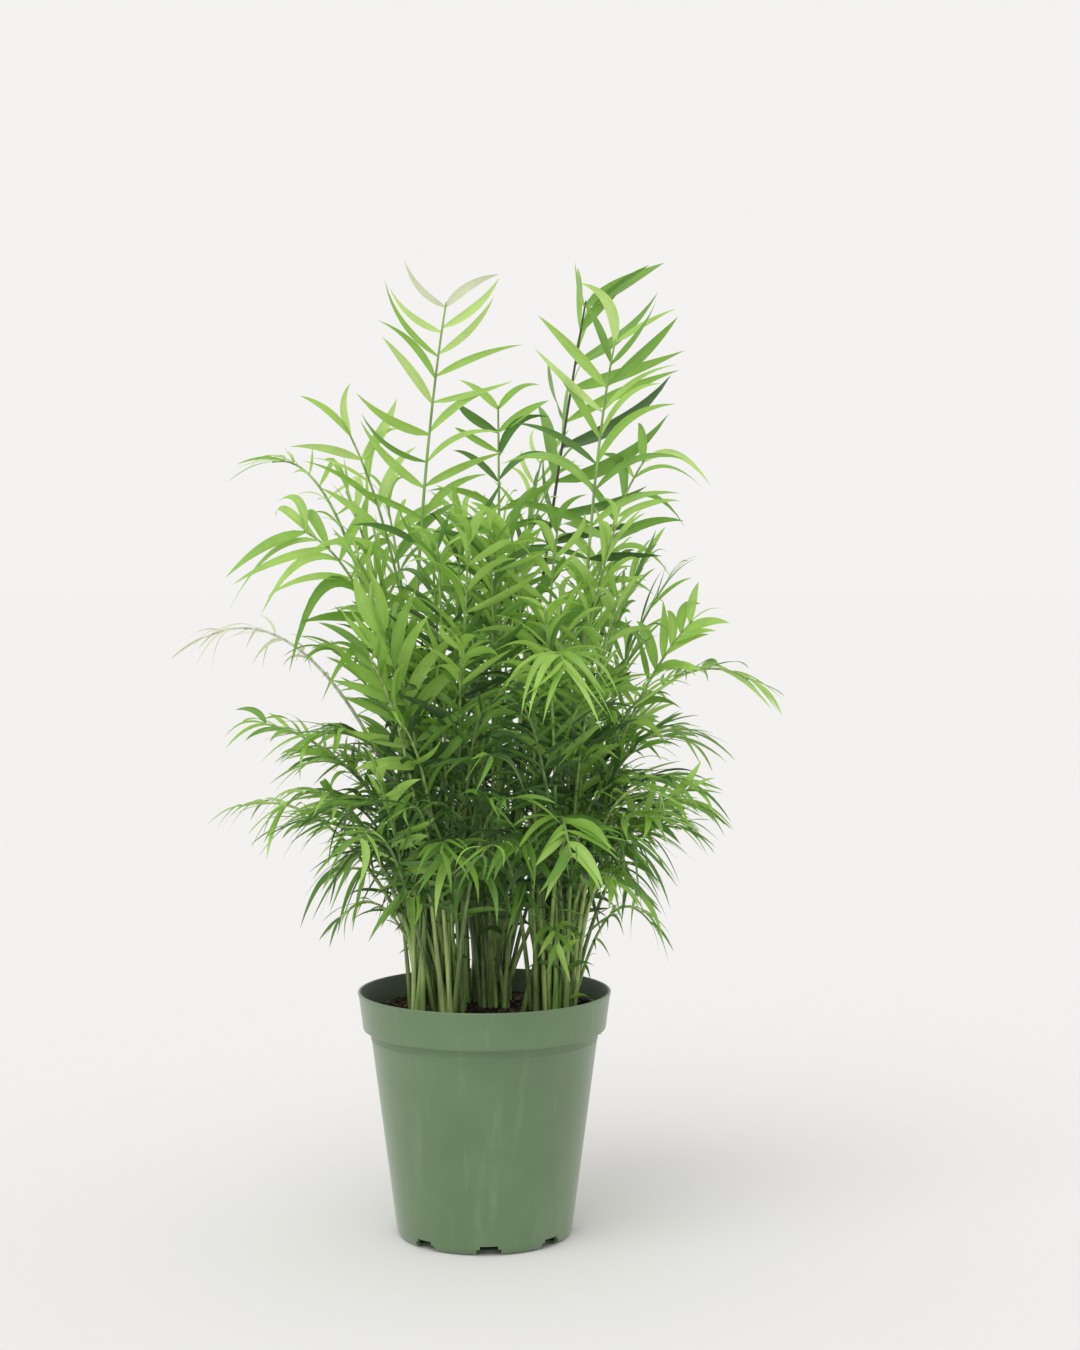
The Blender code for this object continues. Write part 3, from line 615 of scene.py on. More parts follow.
def planFronds(stems):
    rule = frondRule
    fronds = [plannedFrond(row, False) for row in outlineFronds]
    plain = dict(clump=None, turnedFront=0, lift=rule["fillLift"], tintStep=None, leafWidth=None, size=1,
                 angles=leafletRule["fillAngles"], droop=1)
    fill = rule["count"] - len(fronds)
    for k in range(fill + rule["extra"] + rule["skirt"]):
        turn, level, out = [(0.5 + (k + 1) * step) % 1 for step in rule["evenSteps"]]
        frond = dict(plain, extra=k >= fill, lean=mix(rule["lowLean"], rule["highLean"], level))
        frond["crest"] = mix(rule["lowCrest"], rule["highCrest"], level)
        bearing = turn * math.tau
        if k >= fill + rule["extra"]:
            height = mix(*rule["skirtHeights"], level)
            reach = mix(*rule["skirtReach"], out)
            bearing = mix(*rule["skirtBearings"], turn)
            frond.update(crest=rule["skirtCrest"], tintStep=rule["skirtTint"])
        elif frond["extra"]:
            height = mix(rule["extraLowest"], rule["extraHighest"], level ** rule["extraRise"])
            reach = crownReach(height) * mix(rule["shortestReach"], rule["extraReach"], out)
        else:
            height = mix(rule["lowest"], rule["highest"], level)
            reach = crownReach(height) * mix(rule["shortestReach"], rule["longestReach"], out)
        x, y = rule["middleX"] + reach * math.cos(bearing), reach * math.sin(bearing)
        frond["tip"] = Vector((x, y, height))
        fronds.append(frond)
    fronds += [plannedFrond(row, True) for row in youngFronds]
    for n, frond in enumerate(fronds):
        tip, margin = frond["tip"], rule["tipMargin"]
        if frond["extra"]:
            tip.y = min(max(tip.y, cadBox[0][1] + margin), cadBox[1][1] - margin)
        total = len(fronds) if frond["extra"] else rule["count"]
        stem = bestStem(stems, frond, math.ceil(total / len(stems)))
        height = (tip.z - rule["lowest"]) / (rule["highest"] - rule["lowest"])
        frond["number"] = n
        frond["stem"] = stem
        frond["seat"] = stemRule["seats"][stem["fronds"] % len(stemRule["seats"])]
        frond["vigour"] = (n * goldenShare + 0.5) % 1
        frond["height"] = min(max(height, 0), 1)
        stem["fronds"] += 1
    return fronds


def bestStem(stems, frond, most):
    aim = frond["tip"].xy - Vector((frondRule["middleX"], 0))
    aim.normalize()
    free = [s for s in stems if s["fronds"] < most and frond["clump"] in (None, s["clump"])]
    free = free or [s for s in stems if s["fronds"] < most]
    return max(free, key=lambda s: s["foot"].xy.dot(aim) - frondRule["crowding"] * s["fronds"])


def ringOffsets(side, up, radius):
    flank = math.sqrt(3) / 2 * radius
    return up * radius / 2 - side * flank, up * radius / 2 + side * flank, -up * radius


def ribCurve(frond, turn, nudge):
    stem, seat, tip = frond["stem"], frond["seat"], frond["tip"]
    core = stemPoint(stem, 0 if frond["extra"] else seat)
    bend = core.lerp(tip, frond["lean"])
    bend.z = max(tip.z + frond["crest"], core.z + ribRule["leastRise"])
    bend += nudge
    out = Vector((*(tip.xy - core.xy).normalized(), 0))
    if frond["extra"]:
        around = frond["number"] * goldenAngle + turn
        away = mix(*ribRule["shootReach"], frond["vigour"])
        foot = core + Vector((math.cos(around), math.sin(around), 0)) * away
    elif seat == 1:
        slope = (bend.xy - core.xy).length / (bend - core).length
        foot = core + Vector((0, 0, 1.5 * gap + ribRule["footRadius"] * slope))
    else:
        bearing = Matrix.Rotation(turn, 3, "Z") @ out
        across = Vector((out.y, -out.x, 0))
        corners = ringOffsets(across, -out, ribRule["footRadius"])
        support = max(corner.dot(-bearing) for corner in corners)
        foot = core + bearing * (stemRadius(stem, seat) + 1.5 * gap + support)
    return foot, bend, tip


def onCurve(curve, share):
    foot, bend, tip = curve
    rest = 1 - share
    return foot * rest ** 2 + bend * (2 * share * rest) + tip * share ** 2


def alongCurve(curve, share):
    foot, bend, tip = curve
    return ((bend - foot) * (1 - share) + (tip - bend) * share).normalized()


def solidRadius(share, bladeStart):
    if share < bladeStart:
        return mix(ribRule["footRadius"], ribRule["bladeRadius"], share / bladeStart)
    return mix(ribRule["bladeRadius"], ribRule["tipRadius"], (share - bladeStart) / (1 - bladeStart))


def thickLine(points, radii):
    points = np.array(points)
    radii = np.array(radii)
    return points[:-1], points[1:] - points[:-1], np.maximum(radii[:-1], radii[1:])


def roomBetween(first, second):
    a, u, ra = first[0][:, None], first[1][:, None], first[2][:, None]
    b, v, rb = second[0][None], second[1][None], second[2][None]
    w = a - b
    uu, vv, uv = (u * u).sum(-1), (v * v).sum(-1), (u * v).sum(-1)
    uw, vw = (u * w).sum(-1), (v * w).sum(-1)
    s = np.clip((uv * vw - vv * uw) / np.maximum(uu * vv - uv * uv, 1e-12), 0, 1)
    t = np.clip((uv * s + vw) / vv, 0, 1)
    s = np.clip((uv * t - uw) / uu, 0, 1)
    apart = w + s[..., None] * u - t[..., None] * v
    return float((np.sqrt((apart ** 2).sum(-1)) - ra - rb).min())


def stemLine(stem):
    shares = stemShares(stem)
    return thickLine([stemPoint(stem, s) for s in shares], [stemRadius(stem, s) for s in shares])


def rimLine():
    steps = 44  # the solid pot's own count
    turns = [i * math.tau / steps for i in range(steps + 1)]
    middle = pot["rimRadius"] - pot["lipRounding"]
    level = pot["height"] - pot["lipRounding"]
    ring = [(middle * math.cos(a), middle * math.sin(a), level) for a in turns]
    return thickLine(ring, [2 * pot["wall"]] * len(ring))


def frondAxes(frond, share):
    # along the rib, to its right, and out of the blade's upper face
    curve = frond["curve"]
    along = alongCurve(curve, share)
    lean = curve[2] - curve[0]
    naturalUp = lean.cross(Vector((0, 0, 1))).cross(along).normalized()
    turned = frond["turnedFront"] * min(share / frond["bladeStart"], 1) ** 2
    side = along.cross(naturalUp.lerp(Vector((0, -1, 0)), turned)).normalized()
    return along, side, side.cross(along)


def seatRoom(frond):
    if frond["extra"] or frond["seat"] == 1:
        return ribRule["clearance"]
    outline = []
    rings = []
    for share in solidShares(frond)[:ribRule["stalkSteps"]]:
        centre = onCurve(frond["curve"], share)
        _, side, up = frondAxes(frond, share)
        radius = solidRadius(share, frond["bladeStart"])
        rings.append([centre + offset for offset in ringOffsets(side, up, radius)])
    for ring, after in zip(rings, rings[1:]):
        for i in range(ribRule["seatSteps"]):
            outline += [a.lerp(b, i / ribRule["seatSteps"]) for a, b in zip(ring, after)]
    return roomBetween(thickLine(outline, [0] * len(outline)), stemLine(frond["stem"]))


def solidShares(frond):
    steps = ribRule["stalkSteps"]
    stalk = [frond["bladeStart"] * i / steps for i in range(steps)]
    half = ribRule["root"] / 2 / frond["length"]
    start = frond["bladeStart"] + half
    for k in range(ribRule["pairs"] + 1):
        share = mix(start, 1 - half, k / ribRule["pairs"])
        stalk += [share - half, share + half]
    return stalk


def measureRib(frond, curve):
    steps = ribRule["lengthSteps"]
    points = [onCurve(curve, i / steps) for i in range(steps + 1)]
    length = sum((b - a).length for a, b in zip(points, points[1:]))
    blade = min(max(length * ribRule["bladeShare"], ribRule["bladeShortest"]), ribRule["bladeLongest"])
    frond["curve"] = curve
    frond["length"] = length
    frond["bladeStart"] = 1 - blade / length
    shares = solidShares(frond)
    radii = [solidRadius(share, frond["bladeStart"]) for share in shares]
    return thickLine([onCurve(curve, share) for share in shares], radii)


def settleRibs(fronds, stems):
    placed = [rimLine()]
    turns = ribRule["footTurns"]
    for frond in fronds:
        others = placed + [stemLine(s) for s in stems if s is not frond["stem"]]
        others = [np.concatenate(parts) for parts in zip(*others)]
        tries = []
        nudges = ribRule["extraNudges"] if frond["extra"] else ribRule["nudges"]
        for attempt in range(nudges * len(turns)):
            step = attempt // len(turns)
            away = ribRule["nudge"] * math.sqrt(step)
            bearing = step * goldenAngle
            nudge = Vector((away * math.cos(bearing), away * math.sin(bearing), 0))
            curve = ribCurve(frond, math.radians(turns[attempt % len(turns)]), nudge)
            line = measureRib(frond, curve)
            room = min(roomBetween(line, others) - ribRule["clearance"], seatRoom(frond) - gap / 2)
            tries.append((room, -attempt, curve))
            if room > 0:
                break
        curve = max(tries, key=lambda t: t[:2])[2]
        placed.append(measureRib(frond, curve))


# meshes of rods and blades, gathered as plain rows of points

class Gathered:
    def __init__(self):
        self.points = []
        self.quads = []
        self.tris = []
        self.uvs = []
        self.count = 0

    def addRows(self, rows, closed, tip, uvRows=None):
        # rows of points joined by quads, and a fan to the tip; closed joins each row's ends
        count, columns = rows.shape[:2]
        across = columns if closed else columns - 1
        i, j = np.arange(count - 1)[:, None] * columns, np.arange(across)
        after = (j + 1) % columns
        quads = np.stack((i + j, i + after, i + columns + after, i + columns + j), -1)
        last, tipIndex = (count - 1) * columns, np.full(across, count * columns)
        fan = np.stack((last + j, last + after, tipIndex), -1)
        self.points += [rows.reshape(-1, 3), np.array(tip).reshape(1, 3)]
        self.quads.append(quads.reshape(-1, 4) + self.count)
        self.tris.append(fan + self.count)
        if uvRows is not None:
            self.uvs += [uvRows.reshape(-1, 2), np.array([(0.5, 1)])]
        self.count += count * columns + 1

    def makePiece(self, name, material):
        mesh = bpy.data.meshes.new(name)
        quads, tris = np.concatenate(self.quads), np.concatenate(self.tris)
        mesh.from_pydata(np.concatenate(self.points), [], quads.tolist() + tris.tolist())
        if self.uvs:
            corners = np.concatenate((quads.ravel(), tris.ravel()))
            layer = mesh.uv_layers.new(name="blade")
            layer.data.foreach_set("uv", np.concatenate(self.uvs)[corners].ravel().astype(np.float32))
        mesh.shade_smooth()
        print(name, len(mesh.polygons), "faces")
        return addPiece(name, mesh, material)


def carriedSides(points, start):
    # a side direction carried along a line of points without spin
    steps = np.gradient(points, axis=0)
    steps /= np.linalg.norm(steps, axis=1)[:, None]
    side = np.array(start, dtype=float)
    sides, ups = [], []
    for step in steps:
        side = side - step * side.dot(step)
        side /= np.linalg.norm(side)
        sides.append(side)
        ups.append(np.cross(step, side))
    return np.array(sides), np.array(ups)


def rodRows(points, radii, corners, flute=None):
    # rings round a line of points; flute is a share of the radius for each corner
    points = np.array(points)
    sides, ups = carriedSides(points, (1, 0.05, 0))
    turns = np.arange(corners) * math.tau / corners
    ring = sides[:, None] * np.cos(turns)[None, :, None] + ups[:, None] * np.sin(turns)[None, :, None]
    size = np.array(radii)[:, None, None] * np.ones((1, corners, 1))
    if flute is not None:
        size = size * (1 + np.array(flute)[None, :, None])
    return points[:, None] + ring * size


def smoothLine(points, each):
    # a rounded line through the points
    p = np.array(points, dtype=float)
    p = np.concatenate(([2 * p[0] - p[1]], p, [2 * p[-1] - p[-2]]))
    out = []
    for k in range(1, len(p) - 2):
        for i in range(each):
            t = i / each
            a, b, c, d = p[k - 1:k + 3]
            square, cube = 2 * a - 5 * b + 4 * c - d, 3 * b - a - 3 * c + d
            out.append(0.5 * (2 * b + (c - a) * t + square * t ** 2 + cube * t ** 3))
    out.append(p[-2])
    return np.array(out)


# stems

stemLooks = dict(
    corners=14,
    step=1.2 * mm,
    sunk=4 * mm,  # how far the feet go down into the soil
    crown=0.8 * mm,
    firstScar=(2, 7),
    joints=(8 * mm, 13 * mm),  # from one leaf scar to the next
    scarSwell=0.11,
    scarHeight=0.8 * mm,
    waist=0.05,
    flute=0.02,
    colour=(0.15, 0.225, 0.062),
    paleFibre=(0.32, 0.36, 0.15),
    fibreStretch=(900, 900, 55),
)


def stemMaterial():
    material, tree, shader = newMaterial("stem_bark", 0.55, 0.35)
    fibres = noisePattern(tree, stemLooks["fibreStretch"], Scale=1, Detail=4)
    colour = stemLooks["colour"]
    stops = [(0.3, shade(colour, 0.55)), (0.52, colour), (0.75, stemLooks["paleFibre"])]
    finishSurface(tree, shader, colourRamp(tree, fibres, stops), fibres, 0.4, 0.4 * mm)
    return material


def makeStems(stems):
    rods = Gathered()
    dice = random.Random(5)
    looks = stemLooks
    for stem in stems:
        height = stem["height"]
        count = round((height + looks["sunk"]) / looks["step"])
        rises = np.linspace(-looks["sunk"], height, count)
        scars = []
        level = dice.uniform(*looks["firstScar"]) * mm
        while level < height:
            scars.append(level)
            level += dice.uniform(*looks["joints"])
        points, radii = [], []
        for rise in rises:
            share = max(rise, 0) / height
            swell = sum(math.exp(-((rise - scar) / looks["scarHeight"]) ** 2) for scar in scars)
            below = [scar for scar in scars if scar <= rise]
            grown = (rise - below[-1]) / looks["joints"][1] if below else 0
            points.append(stemPoint(stem, share) + Vector((0, 0, min(rise, 0))))
            size = 1 + looks["scarSwell"] * swell - looks["waist"] + looks["waist"] * grown
            radii.append(stemRadius(stem, share) * size)
        flute = [looks["flute"] * math.sin(4 * k + dice.random()) for k in range(looks["corners"])]
        tip = points[-1] + Vector((0, 0, looks["crown"]))
        rods.addRows(rodRows(points, radii, looks["corners"], flute), True, tip)
    piece = rods.makePiece("stems", stemMaterial())
    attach(piece, "root")
    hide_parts(*[stem["name"] for stem in stems])


# stalks and ribs of the fronds

stalkLooks = dict(
    corners=8,
    sheathLength=22 * mm,
    sheathKnots=(1, 0.6, 0.2),
    sheathProud=0.3 * mm,
    clearAfter=7 * mm,  # where the stalk comes clear of the sheath
    footSwell=0.3,
    sunk=4 * mm,
    shootRadius=1.45 * mm,
    stations=15,
    highTip=360 * mm,  # fronds over this have lighter stalks
    tones=((0.32, 0.6), (0.72, 1.45)),
    streakStretch=(500, 500, 22),
    colours={
        "stalks": (0.245, 0.37, 0.108),
        "light_stalks": (0.24, 0.39, 0.1),
        "wan_stalks": (0.37, 0.48, 0.165),
        "shade_stalks": (0.16, 0.245, 0.078),
        "dark_stalk": (0.045, 0.055, 0.03),
        "pale_stalk": (0.52, 0.54, 0.43),
    },
    shootColours=("shade_stalks", "stalks", "wan_stalks", "shade_stalks"),
)


def stalkMaterial(name, colour):
    material, tree, shader = newMaterial(name, 0.38)
    streaks = noisePattern(tree, stalkLooks["streakStretch"], Scale=1, Detail=3)
    tone = toneRamp(tree, streaks, colour, stalkLooks["tones"])
    finishSurface(tree, shader, tone, streaks, 0.25, 0.3 * mm)
    return material


def stalkRows(frond):
    # the sheath holds the stem, then the stalk leaves it and carries the blade
    stem, seat = frond["stem"], frond["seat"]
    looks = stalkLooks
    knots, radii = [], []
    if frond["extra"]:
        knots.append(frond["curve"][0] - Vector((0, 0, looks["sunk"])))
        radii.append(looks["shootRadius"])
        leave = 0
    else:
        for down in looks["sheathKnots"]:
            share = max(seat - looks["sheathLength"] * down / stem["height"], 0.02)
            knots.append(stemPoint(stem, share))
            radii.append(stemRadius(stem, share) + looks["sheathProud"] * (1.15 - down))
        leave = looks["clearAfter"] / frond["length"]
    for k in range(looks["stations"]):
        share = mix(leave, 1, k / (looks["stations"] - 1))
        knots.append(onCurve(frond["curve"], share))
        radius = solidRadius(share, frond["bladeStart"])
        radii.append(radius * (1 + looks["footSwell"] * math.exp(-k / 1.2)))
    line = smoothLine(knots, 2)
    stations = np.linspace(0, len(knots) - 1, len(line))
    return rodRows(line, np.interp(stations, np.arange(len(knots)), radii), looks["corners"])


def makeStalks(fronds):
    groups = {name: (Gathered(), []) for name in stalkLooks["colours"]}
    for frond in fronds:
        rods, names = groups[frond["stalk"]]
        rows = np.clip(stalkRows(frond), *cadBox)
        rods.addRows(rows, True, rows[-1].mean(0) + (rows[-1] - rows[-2]).mean(0) * 0.2)
        if not frond["extra"]:
            names.append(frondName(frond))
    for name, (rods, names) in groups.items():
        piece = rods.makePiece(name, stalkMaterial(name, stalkLooks["colours"][name]))
        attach(piece, "root")
        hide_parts(*names)


def frondName(frond):
    return f"frond_{frond['number'] + 1:02d}"


# leaflets

leafletRule = dict(
    pairs=(7, 9),  # besides the pair at the tip
    longest=70 * mm,
    shortest=52 * mm,
    lowShare=0.68,  # low fronds have shorter leaflets
    lengthSwing=(0.6, 0.4, 0.18, 0.72),  # least share, swing, and where the swing's wave runs
    lengthSpread=(0.86, 1.08),
    width=(0.048, 0.098),  # of a leaflet's length, from frond to frond
    widthPower=1.3,  # over 1 makes narrow ones the more common
    widthSpread=(0.78, 1.22),
    outlineWidth=0.092,
    tipWidth=1.45,  # the pair at the tip is broader
    tipPower=5,
    widest=0.36,  # how far along it is widest
    fullness=0.9,
    footWidth=0.2,
    liftSpread=18,
    outlineAngle=64,
    fillAngles=(50, 24),  # from the rib, at the foot and the tip of the blade
    angleSpread=12,
    lowDroop=0.42,
    highDroop=0.32,
    droopSpread=(0.4, 1.6),
    droopPower=2.3,  # the droop is mostly near the leaflet's tip
    bow=0.14,
    twist=1.15,
    twistShares=(0.25, 0.75),  # at the foot, and gained on the way to the tip
    fold=0.34,  # rise of the margins over the midrib
    foldLoss=0.6,
    foldPower=0.8,
    sections=10,
    crowding=0.06,  # brings the sections closer together at the ends
    inset=0.4 * mm,  # kept inside the solids' box
    shrink=0.95,
    leastScale=0.3,
    # the greens from leaves_shade up to leaves_light are partly the leaves' own colour and partly painted
    # light and shade, dealt out by height and depth in the crown; leaves_pale also serves as a painted
    # highlight on frond tips
    tints={
        "leaves_light": (0.47, 0.655, 0.2),
        "leaves_young": (0.35, 0.565, 0.115),
        "leaves_fresh": (0.262, 0.47, 0.076),
        "leaves_green": (0.172, 0.345, 0.053),
        "leaves_deep": (0.104, 0.23, 0.043),
        "leaves_shade": (0.06, 0.125, 0.034),
        "leaves_pale": (0.64, 0.68, 0.47),
    },
)
tintRule = dict(
    steps=("leaves_shade", "leaves_deep", "leaves_green", "leaves_fresh", "leaves_young", "leaves_light"),
    darkest=150,  # painted shade and light: fronds with their tip at this height in mm are darkest
    span=390,  # and this much higher they are lightest
    jitter=0.15,
    darkStalked=(10,),
    paleFronds=(3,),
    paintedHighlightTips={0: 0.9},  # painted highlight: a frond, and the share of its blade from which its leaflets are pale
    stray=0.3,  # share of leaflets that are lighter than their frond, and as many darker
    strayLighter=1,
    strayDarker=-1.6,
    paleHeight=440 * mm,  # painted light: the lightest green is kept for leaflets above this
    drop=120 * mm,  # painted shade: a leaflet this far below its frond's tip is one step darker
    depths=(0.25, 0.5, 0.85),  # painted shade: from the middle of the crown to near its edge
    depthShadeSteps=(-2.2, -0.7, 0.5),
)
leafLooks = dict(
    roughness=0.37,
    veins={"Scale": 1.3, "Distortion": 0.3, "Detail": 1.0},
    veinStrength=0.12,
    veinDepth=0.4 * mm,
    mottle={"Scale": 70, "Detail": 3},
    mottleTones=((0.3, 0.86), (0.7, 1.12)),
    midrib=((0.455, 0), (0.495, 0.34)),  # the middle of the blade is at 0.5
    midribShade=1.75,
    glowShade=1.35,
    glow=0.3,
)


def leafMaterial(name, colour):
    # parallel veins run along the blade; light comes through from behind
    looks = leafLooks
    material, tree, shader = newMaterial(name, looks["roughness"])
    uv = addNode(tree, "ShaderNodeUVMap", uv_map="blade").outputs["UV"]
    veins = addNode(tree, "ShaderNodeTexWave", {"Vector": uv}, wave_type="BANDS",
                    bands_direction="X", **looks["veins"])
    tone = toneRamp(tree, noisePattern(tree, **looks["mottle"]), colour, looks["mottleTones"])
    across = addNode(tree, "ShaderNodeSeparateXYZ", {0: uv}).outputs["X"]
    middle = addNode(tree, "ShaderNodeMath", {0: across}, operation="PINGPONG")
    middle.inputs[1].default_value = 0.5
    midrib = toneRamp(tree, middle.outputs[0], white, looks["midrib"])
    ribbed = blendColours(tree, midrib, tone, shade(colour, looks["midribShade"]))
    finishSurface(tree, shader, ribbed, veins.outputs["Fac"], looks["veinStrength"], looks["veinDepth"])
    through = addNode(tree, "ShaderNodeBsdfTranslucent")
    through.inputs["Color"].default_value = (*shade(colour, looks["glowShade"]), 1)
    ends = {1: shader.outputs[0], 2: through.outputs[0]}
    both = addNode(tree, "ShaderNodeMixShader", ends, Fac=looks["glow"])
    tree.links.new(both.outputs[0], tree.nodes["Material Output"].inputs["Surface"])
    return material


def dealTints(fronds):
    dice = random.Random(3)
    rule = tintRule
    lightest = len(rule["steps"]) - 1
    for frond in fronds:
        jitter = dice.uniform(-rule["jitter"], rule["jitter"])
        # painted light and shade: a frond's tint grows lighter with the height of its tip
        level = (frond["tip"].z / mm - rule["darkest"]) / rule["span"] + jitter
        if frond["tintStep"] is None:
            frond["tintStep"] = min(max(int(level * len(rule["steps"])), 0), lightest)
        if frond["number"] in rule["darkStalked"]:
            frond["stalk"] = "dark_stalk"
        elif frond["number"] in rule["paleFronds"]:
            frond["stalk"] = "pale_stalk"
        elif frond["tip"].z > stalkLooks["highTip"]:
            frond["stalk"] = "light_stalks"
        elif frond["extra"]:
            shades = stalkLooks["shootColours"]
            frond["stalk"] = shades[frond["number"] % len(shades)]
        else:
            frond["stalk"] = "stalks"


def leafletTint(frond, spine, blade, dice):
    rule = tintRule
    stray = dice.random()
    # painted highlight: the tip leaflets of that frond take the pale tint
    paintedHighlight = blade > rule["paintedHighlightTips"].get(frond["number"], 1)
    if paintedHighlight or frond["number"] in rule["paleFronds"]:
        return "leaves_pale"
    root = spine["root"]
    # painted shade: a leaflet is darker the further it sits below its frond's tip
    step = frond["tintStep"] + 0.5 - (frond["tip"].z - root.z) / rule["drop"]
    if stray < rule["stray"]:
        step += rule["strayLighter"]
    elif stray > 1 - rule["stray"]:
        step += rule["strayDarker"]
    # painted shade: leaflets deep inside the crown get darker tints, those near its edge lighter
    depth = (root.xy - Vector((frondRule["middleX"], 0))).length / crownReach(root.z)
    step += float(np.interp(depth, rule["depths"], rule["depthShadeSteps"]))
    lightest = len(rule["steps"]) - (2 if root.z < rule["paleHeight"] else 1)
    return rule["steps"][min(max(int(step), 0), lightest)]


def leafletSpine(frond, share, blade, hand, dice):
    rule = leafletRule
    along, side, up = frondAxes(frond, share)
    height = frond["height"]
    full = mix(rule["shortest"], rule["longest"], frond["vigour"]) * mix(rule["lowShare"], 1, height)
    least, swing, waveStart, waveRun = rule["lengthSwing"]
    swell = least + swing * math.sin(math.pi * (waveStart + waveRun * blade))
    length = full * frond["size"] * swell * dice.uniform(*rule["lengthSpread"])
    spread = rule["angleSpread"]
    angle = math.radians(mix(*frond["angles"], blade) + dice.uniform(-spread, spread))
    rise = math.radians(frond["lift"] + dice.uniform(-rule["liftSpread"], rule["liftSpread"]))
    outward = side * hand * math.cos(rise) + up * math.sin(rise)
    heading = (along * math.cos(angle) + outward * math.sin(angle)).normalized()
    across = (along - heading * along.dot(heading)).normalized()
    atTip = blade ** rule["tipPower"]
    droop = mix(rule["lowDroop"], rule["highDroop"], height) * dice.uniform(*rule["droopSpread"])
    return {
        "root": onCurve(frond["curve"], share),
        "length": length,
        "heading": heading,
        "across": across,
        "hand": hand,
        "droop": droop * frond["droop"],
        "bow": dice.uniform(-rule["bow"], rule["bow"]),
        "twist": dice.uniform(-rule["twist"], rule["twist"]),
        "width": frond["leafWidth"] * dice.uniform(*rule["widthSpread"]) * mix(1, rule["tipWidth"], atTip),
    }


def bladeWidth(share):
    peak = math.log(0.5) / math.log(leafletRule["widest"])
    body = np.sin(math.pi * share ** peak) ** leafletRule["fullness"]
    return np.maximum(body, leafletRule["footWidth"] * (1 - share))


def leafletRows(spine, scale):
    # sections across the leaflet from its root to its tip, each a shallow trough of five points
    rule = leafletRule
    length = spine["length"] * scale
    t = np.linspace(0, 1, rule["sections"] + 1)
    t = np.clip(t + rule["crowding"] * np.sin(math.tau * t), 0, 1)
    heading, across = np.array(spine["heading"]), np.array(spine["across"])
    down = np.array((0, 0, -1.0))
    line = np.array(spine["root"]) + heading * (length * t)[:, None]
    line = line + down * (length * spine["droop"] * t ** rule["droopPower"])[:, None]
    line = line + across * (length * spine["bow"] * 4 * t * (1 - t))[:, None]
    step = np.gradient(line, axis=0)
    step /= np.linalg.norm(step, axis=1)[:, None]
    wide = across - step * (step @ across)[:, None]
    wide /= np.linalg.norm(wide, axis=1)[:, None]
    above = np.cross(step, wide) * spine["hand"]
    footTwist, tipTwist = rule["twistShares"]
    turn = (spine["twist"] * (footTwist + tipTwist * t))[:, None]
    cos, sin = np.cos(turn), np.sin(turn)
    wide, above = wide * cos + above * sin, above * cos - wide * sin
    half = length * spine["width"] / 2 * bladeWidth(t)
    places = np.array((-1, -0.5, 0, 0.5, 1))
    rise = half * (rule["fold"] * (1 - rule["foldLoss"] * t))
    rows = line[:, None] + wide[:, None] * (half[:, None] * places)[..., None]
    rows = rows + above[:, None] * (rise[:, None] * np.abs(places) ** rule["foldPower"])[..., None]
    uvRows = np.stack(np.broadcast_arrays((places[None] + 1) / 2, t[:, None]), -1)
    return rows[:-1], line[-1], uvRows[:-1]


def insideBox(rows, tip):
    points = np.vstack((rows.reshape(-1, 3), tip))
    low, high = (np.array(corner) for corner in cadBox)
    inset = leafletRule["inset"]
    return (points >= low + inset).all() and (points <= high - inset).all()


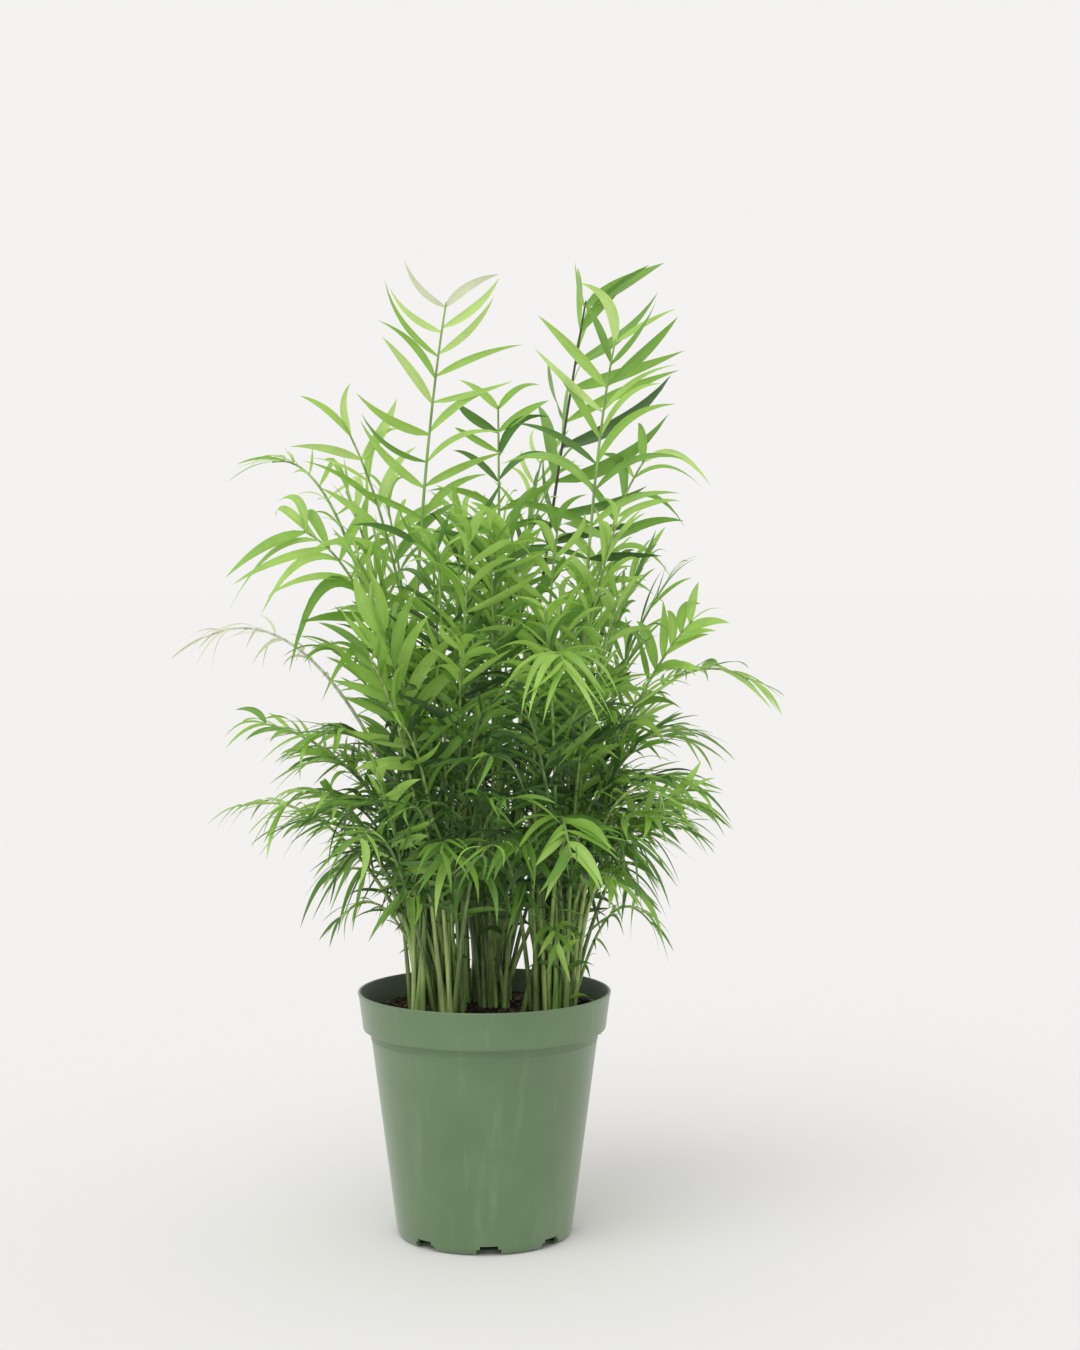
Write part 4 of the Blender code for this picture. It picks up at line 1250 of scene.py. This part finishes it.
def makeLeaves(fronds):
    groups = {name: (Gathered(), set()) for name in leafletRule["tints"]}
    dice = random.Random(17)
    rule = leafletRule
    for frond in fronds:
        pairs = dice.randint(*rule["pairs"])
        if frond["leafWidth"] is None:
            frond["leafWidth"] = mix(*rule["width"], dice.random() ** rule["widthPower"])
        half = ribRule["root"] / 2 / frond["length"]
        for k in range(pairs + 1):
            blade = k / pairs
            for hand in (1, -1):
                offset = dice.uniform(-0.5, 0.5) * half * 2 if 0 < k < pairs else 0
                share = mix(frond["bladeStart"] + half, 1 - half, blade) + offset
                spine = leafletSpine(frond, share, blade, hand, dice)
                scale = 1
                rows, tip, uvRows = leafletRows(spine, scale)
                while not insideBox(rows, tip) and scale > rule["leastScale"]:
                    scale *= rule["shrink"]
                    rows, tip, uvRows = leafletRows(spine, scale)
                leaves, names = groups[leafletTint(frond, spine, blade, dice)]
                leaves.addRows(rows, False, tip, uvRows)
                if not frond["extra"]:
                    names.add(frondName(frond))
    for name, (leaves, names) in groups.items():
        piece = leaves.makePiece(name, leafMaterial(name, rule["tints"][name]))
        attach(piece, "root")
        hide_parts(*sorted(names))


# studio: pale floor, soft light and the camera

studio = dict(
    paper=(0.765, 0.757, 0.748),
    floorReach=30,
    skyColour=(0.905, 0.895, 0.885),
    skyStrength=1,
    sunStrength=1.1,
    sunSoftness=math.radians(50),
    sunTilt=(math.radians(38), 0, math.radians(-28)),
    cameraPlace=(0.034, -1.42, 0.41),
    cameraPitch=math.radians(87.3),
    lens=62.2,
)


def makeStudio():
    material, _, shader = newMaterial("floor_paper", 0.9, 0.1)
    shader.inputs["Base Color"].default_value = (*studio["paper"], 1)
    bm = bmesh.new()
    bmesh.ops.create_circle(bm, cap_ends=True, segments=96, radius=studio["floorReach"])
    floor = addPiece("floor", meshFrom("floor", bm), material)
    world = bpy.data.worlds.new("studio")
    bpy.context.scene.world = world
    world.use_nodes = True
    sky = world.node_tree.nodes["Background"]
    sky.inputs["Color"].default_value = (*studio["skyColour"], 1)
    sky.inputs["Strength"].default_value = studio["skyStrength"]
    light = bpy.data.lights.new("soft_key", "SUN")
    light.energy = studio["sunStrength"]
    light.angle = studio["sunSoftness"]
    key = bpy.data.objects.new("soft_key", light)
    key.rotation_euler = studio["sunTilt"]
    bpy.context.scene.collection.objects.link(key)
    bpy.context.scene.view_settings.view_transform = "Standard"


def makeCamera():
    lens = bpy.data.cameras.new("camera")
    lens.sensor_fit = "VERTICAL"
    lens.sensor_height = 36
    lens.lens = studio["lens"]
    camera = bpy.data.objects.new("camera", lens)
    camera.location = studio["cameraPlace"]
    camera.rotation_euler = (studio["cameraPitch"], 0, 0)
    bpy.context.scene.collection.objects.link(camera)
    bpy.context.scene.camera = camera


makeCamera()
makeStudio()
print("studio set")
makePot()
makeSoil()
stems = planStems()
fronds = planFronds(stems)
settleRibs(fronds, stems)
print(len(fronds), "fronds settled")
dealTints(fronds)
makeStems(stems)
makeStalks(fronds)
makeLeaves(fronds)
print("plant made")

bpy.context.view_layer.update()
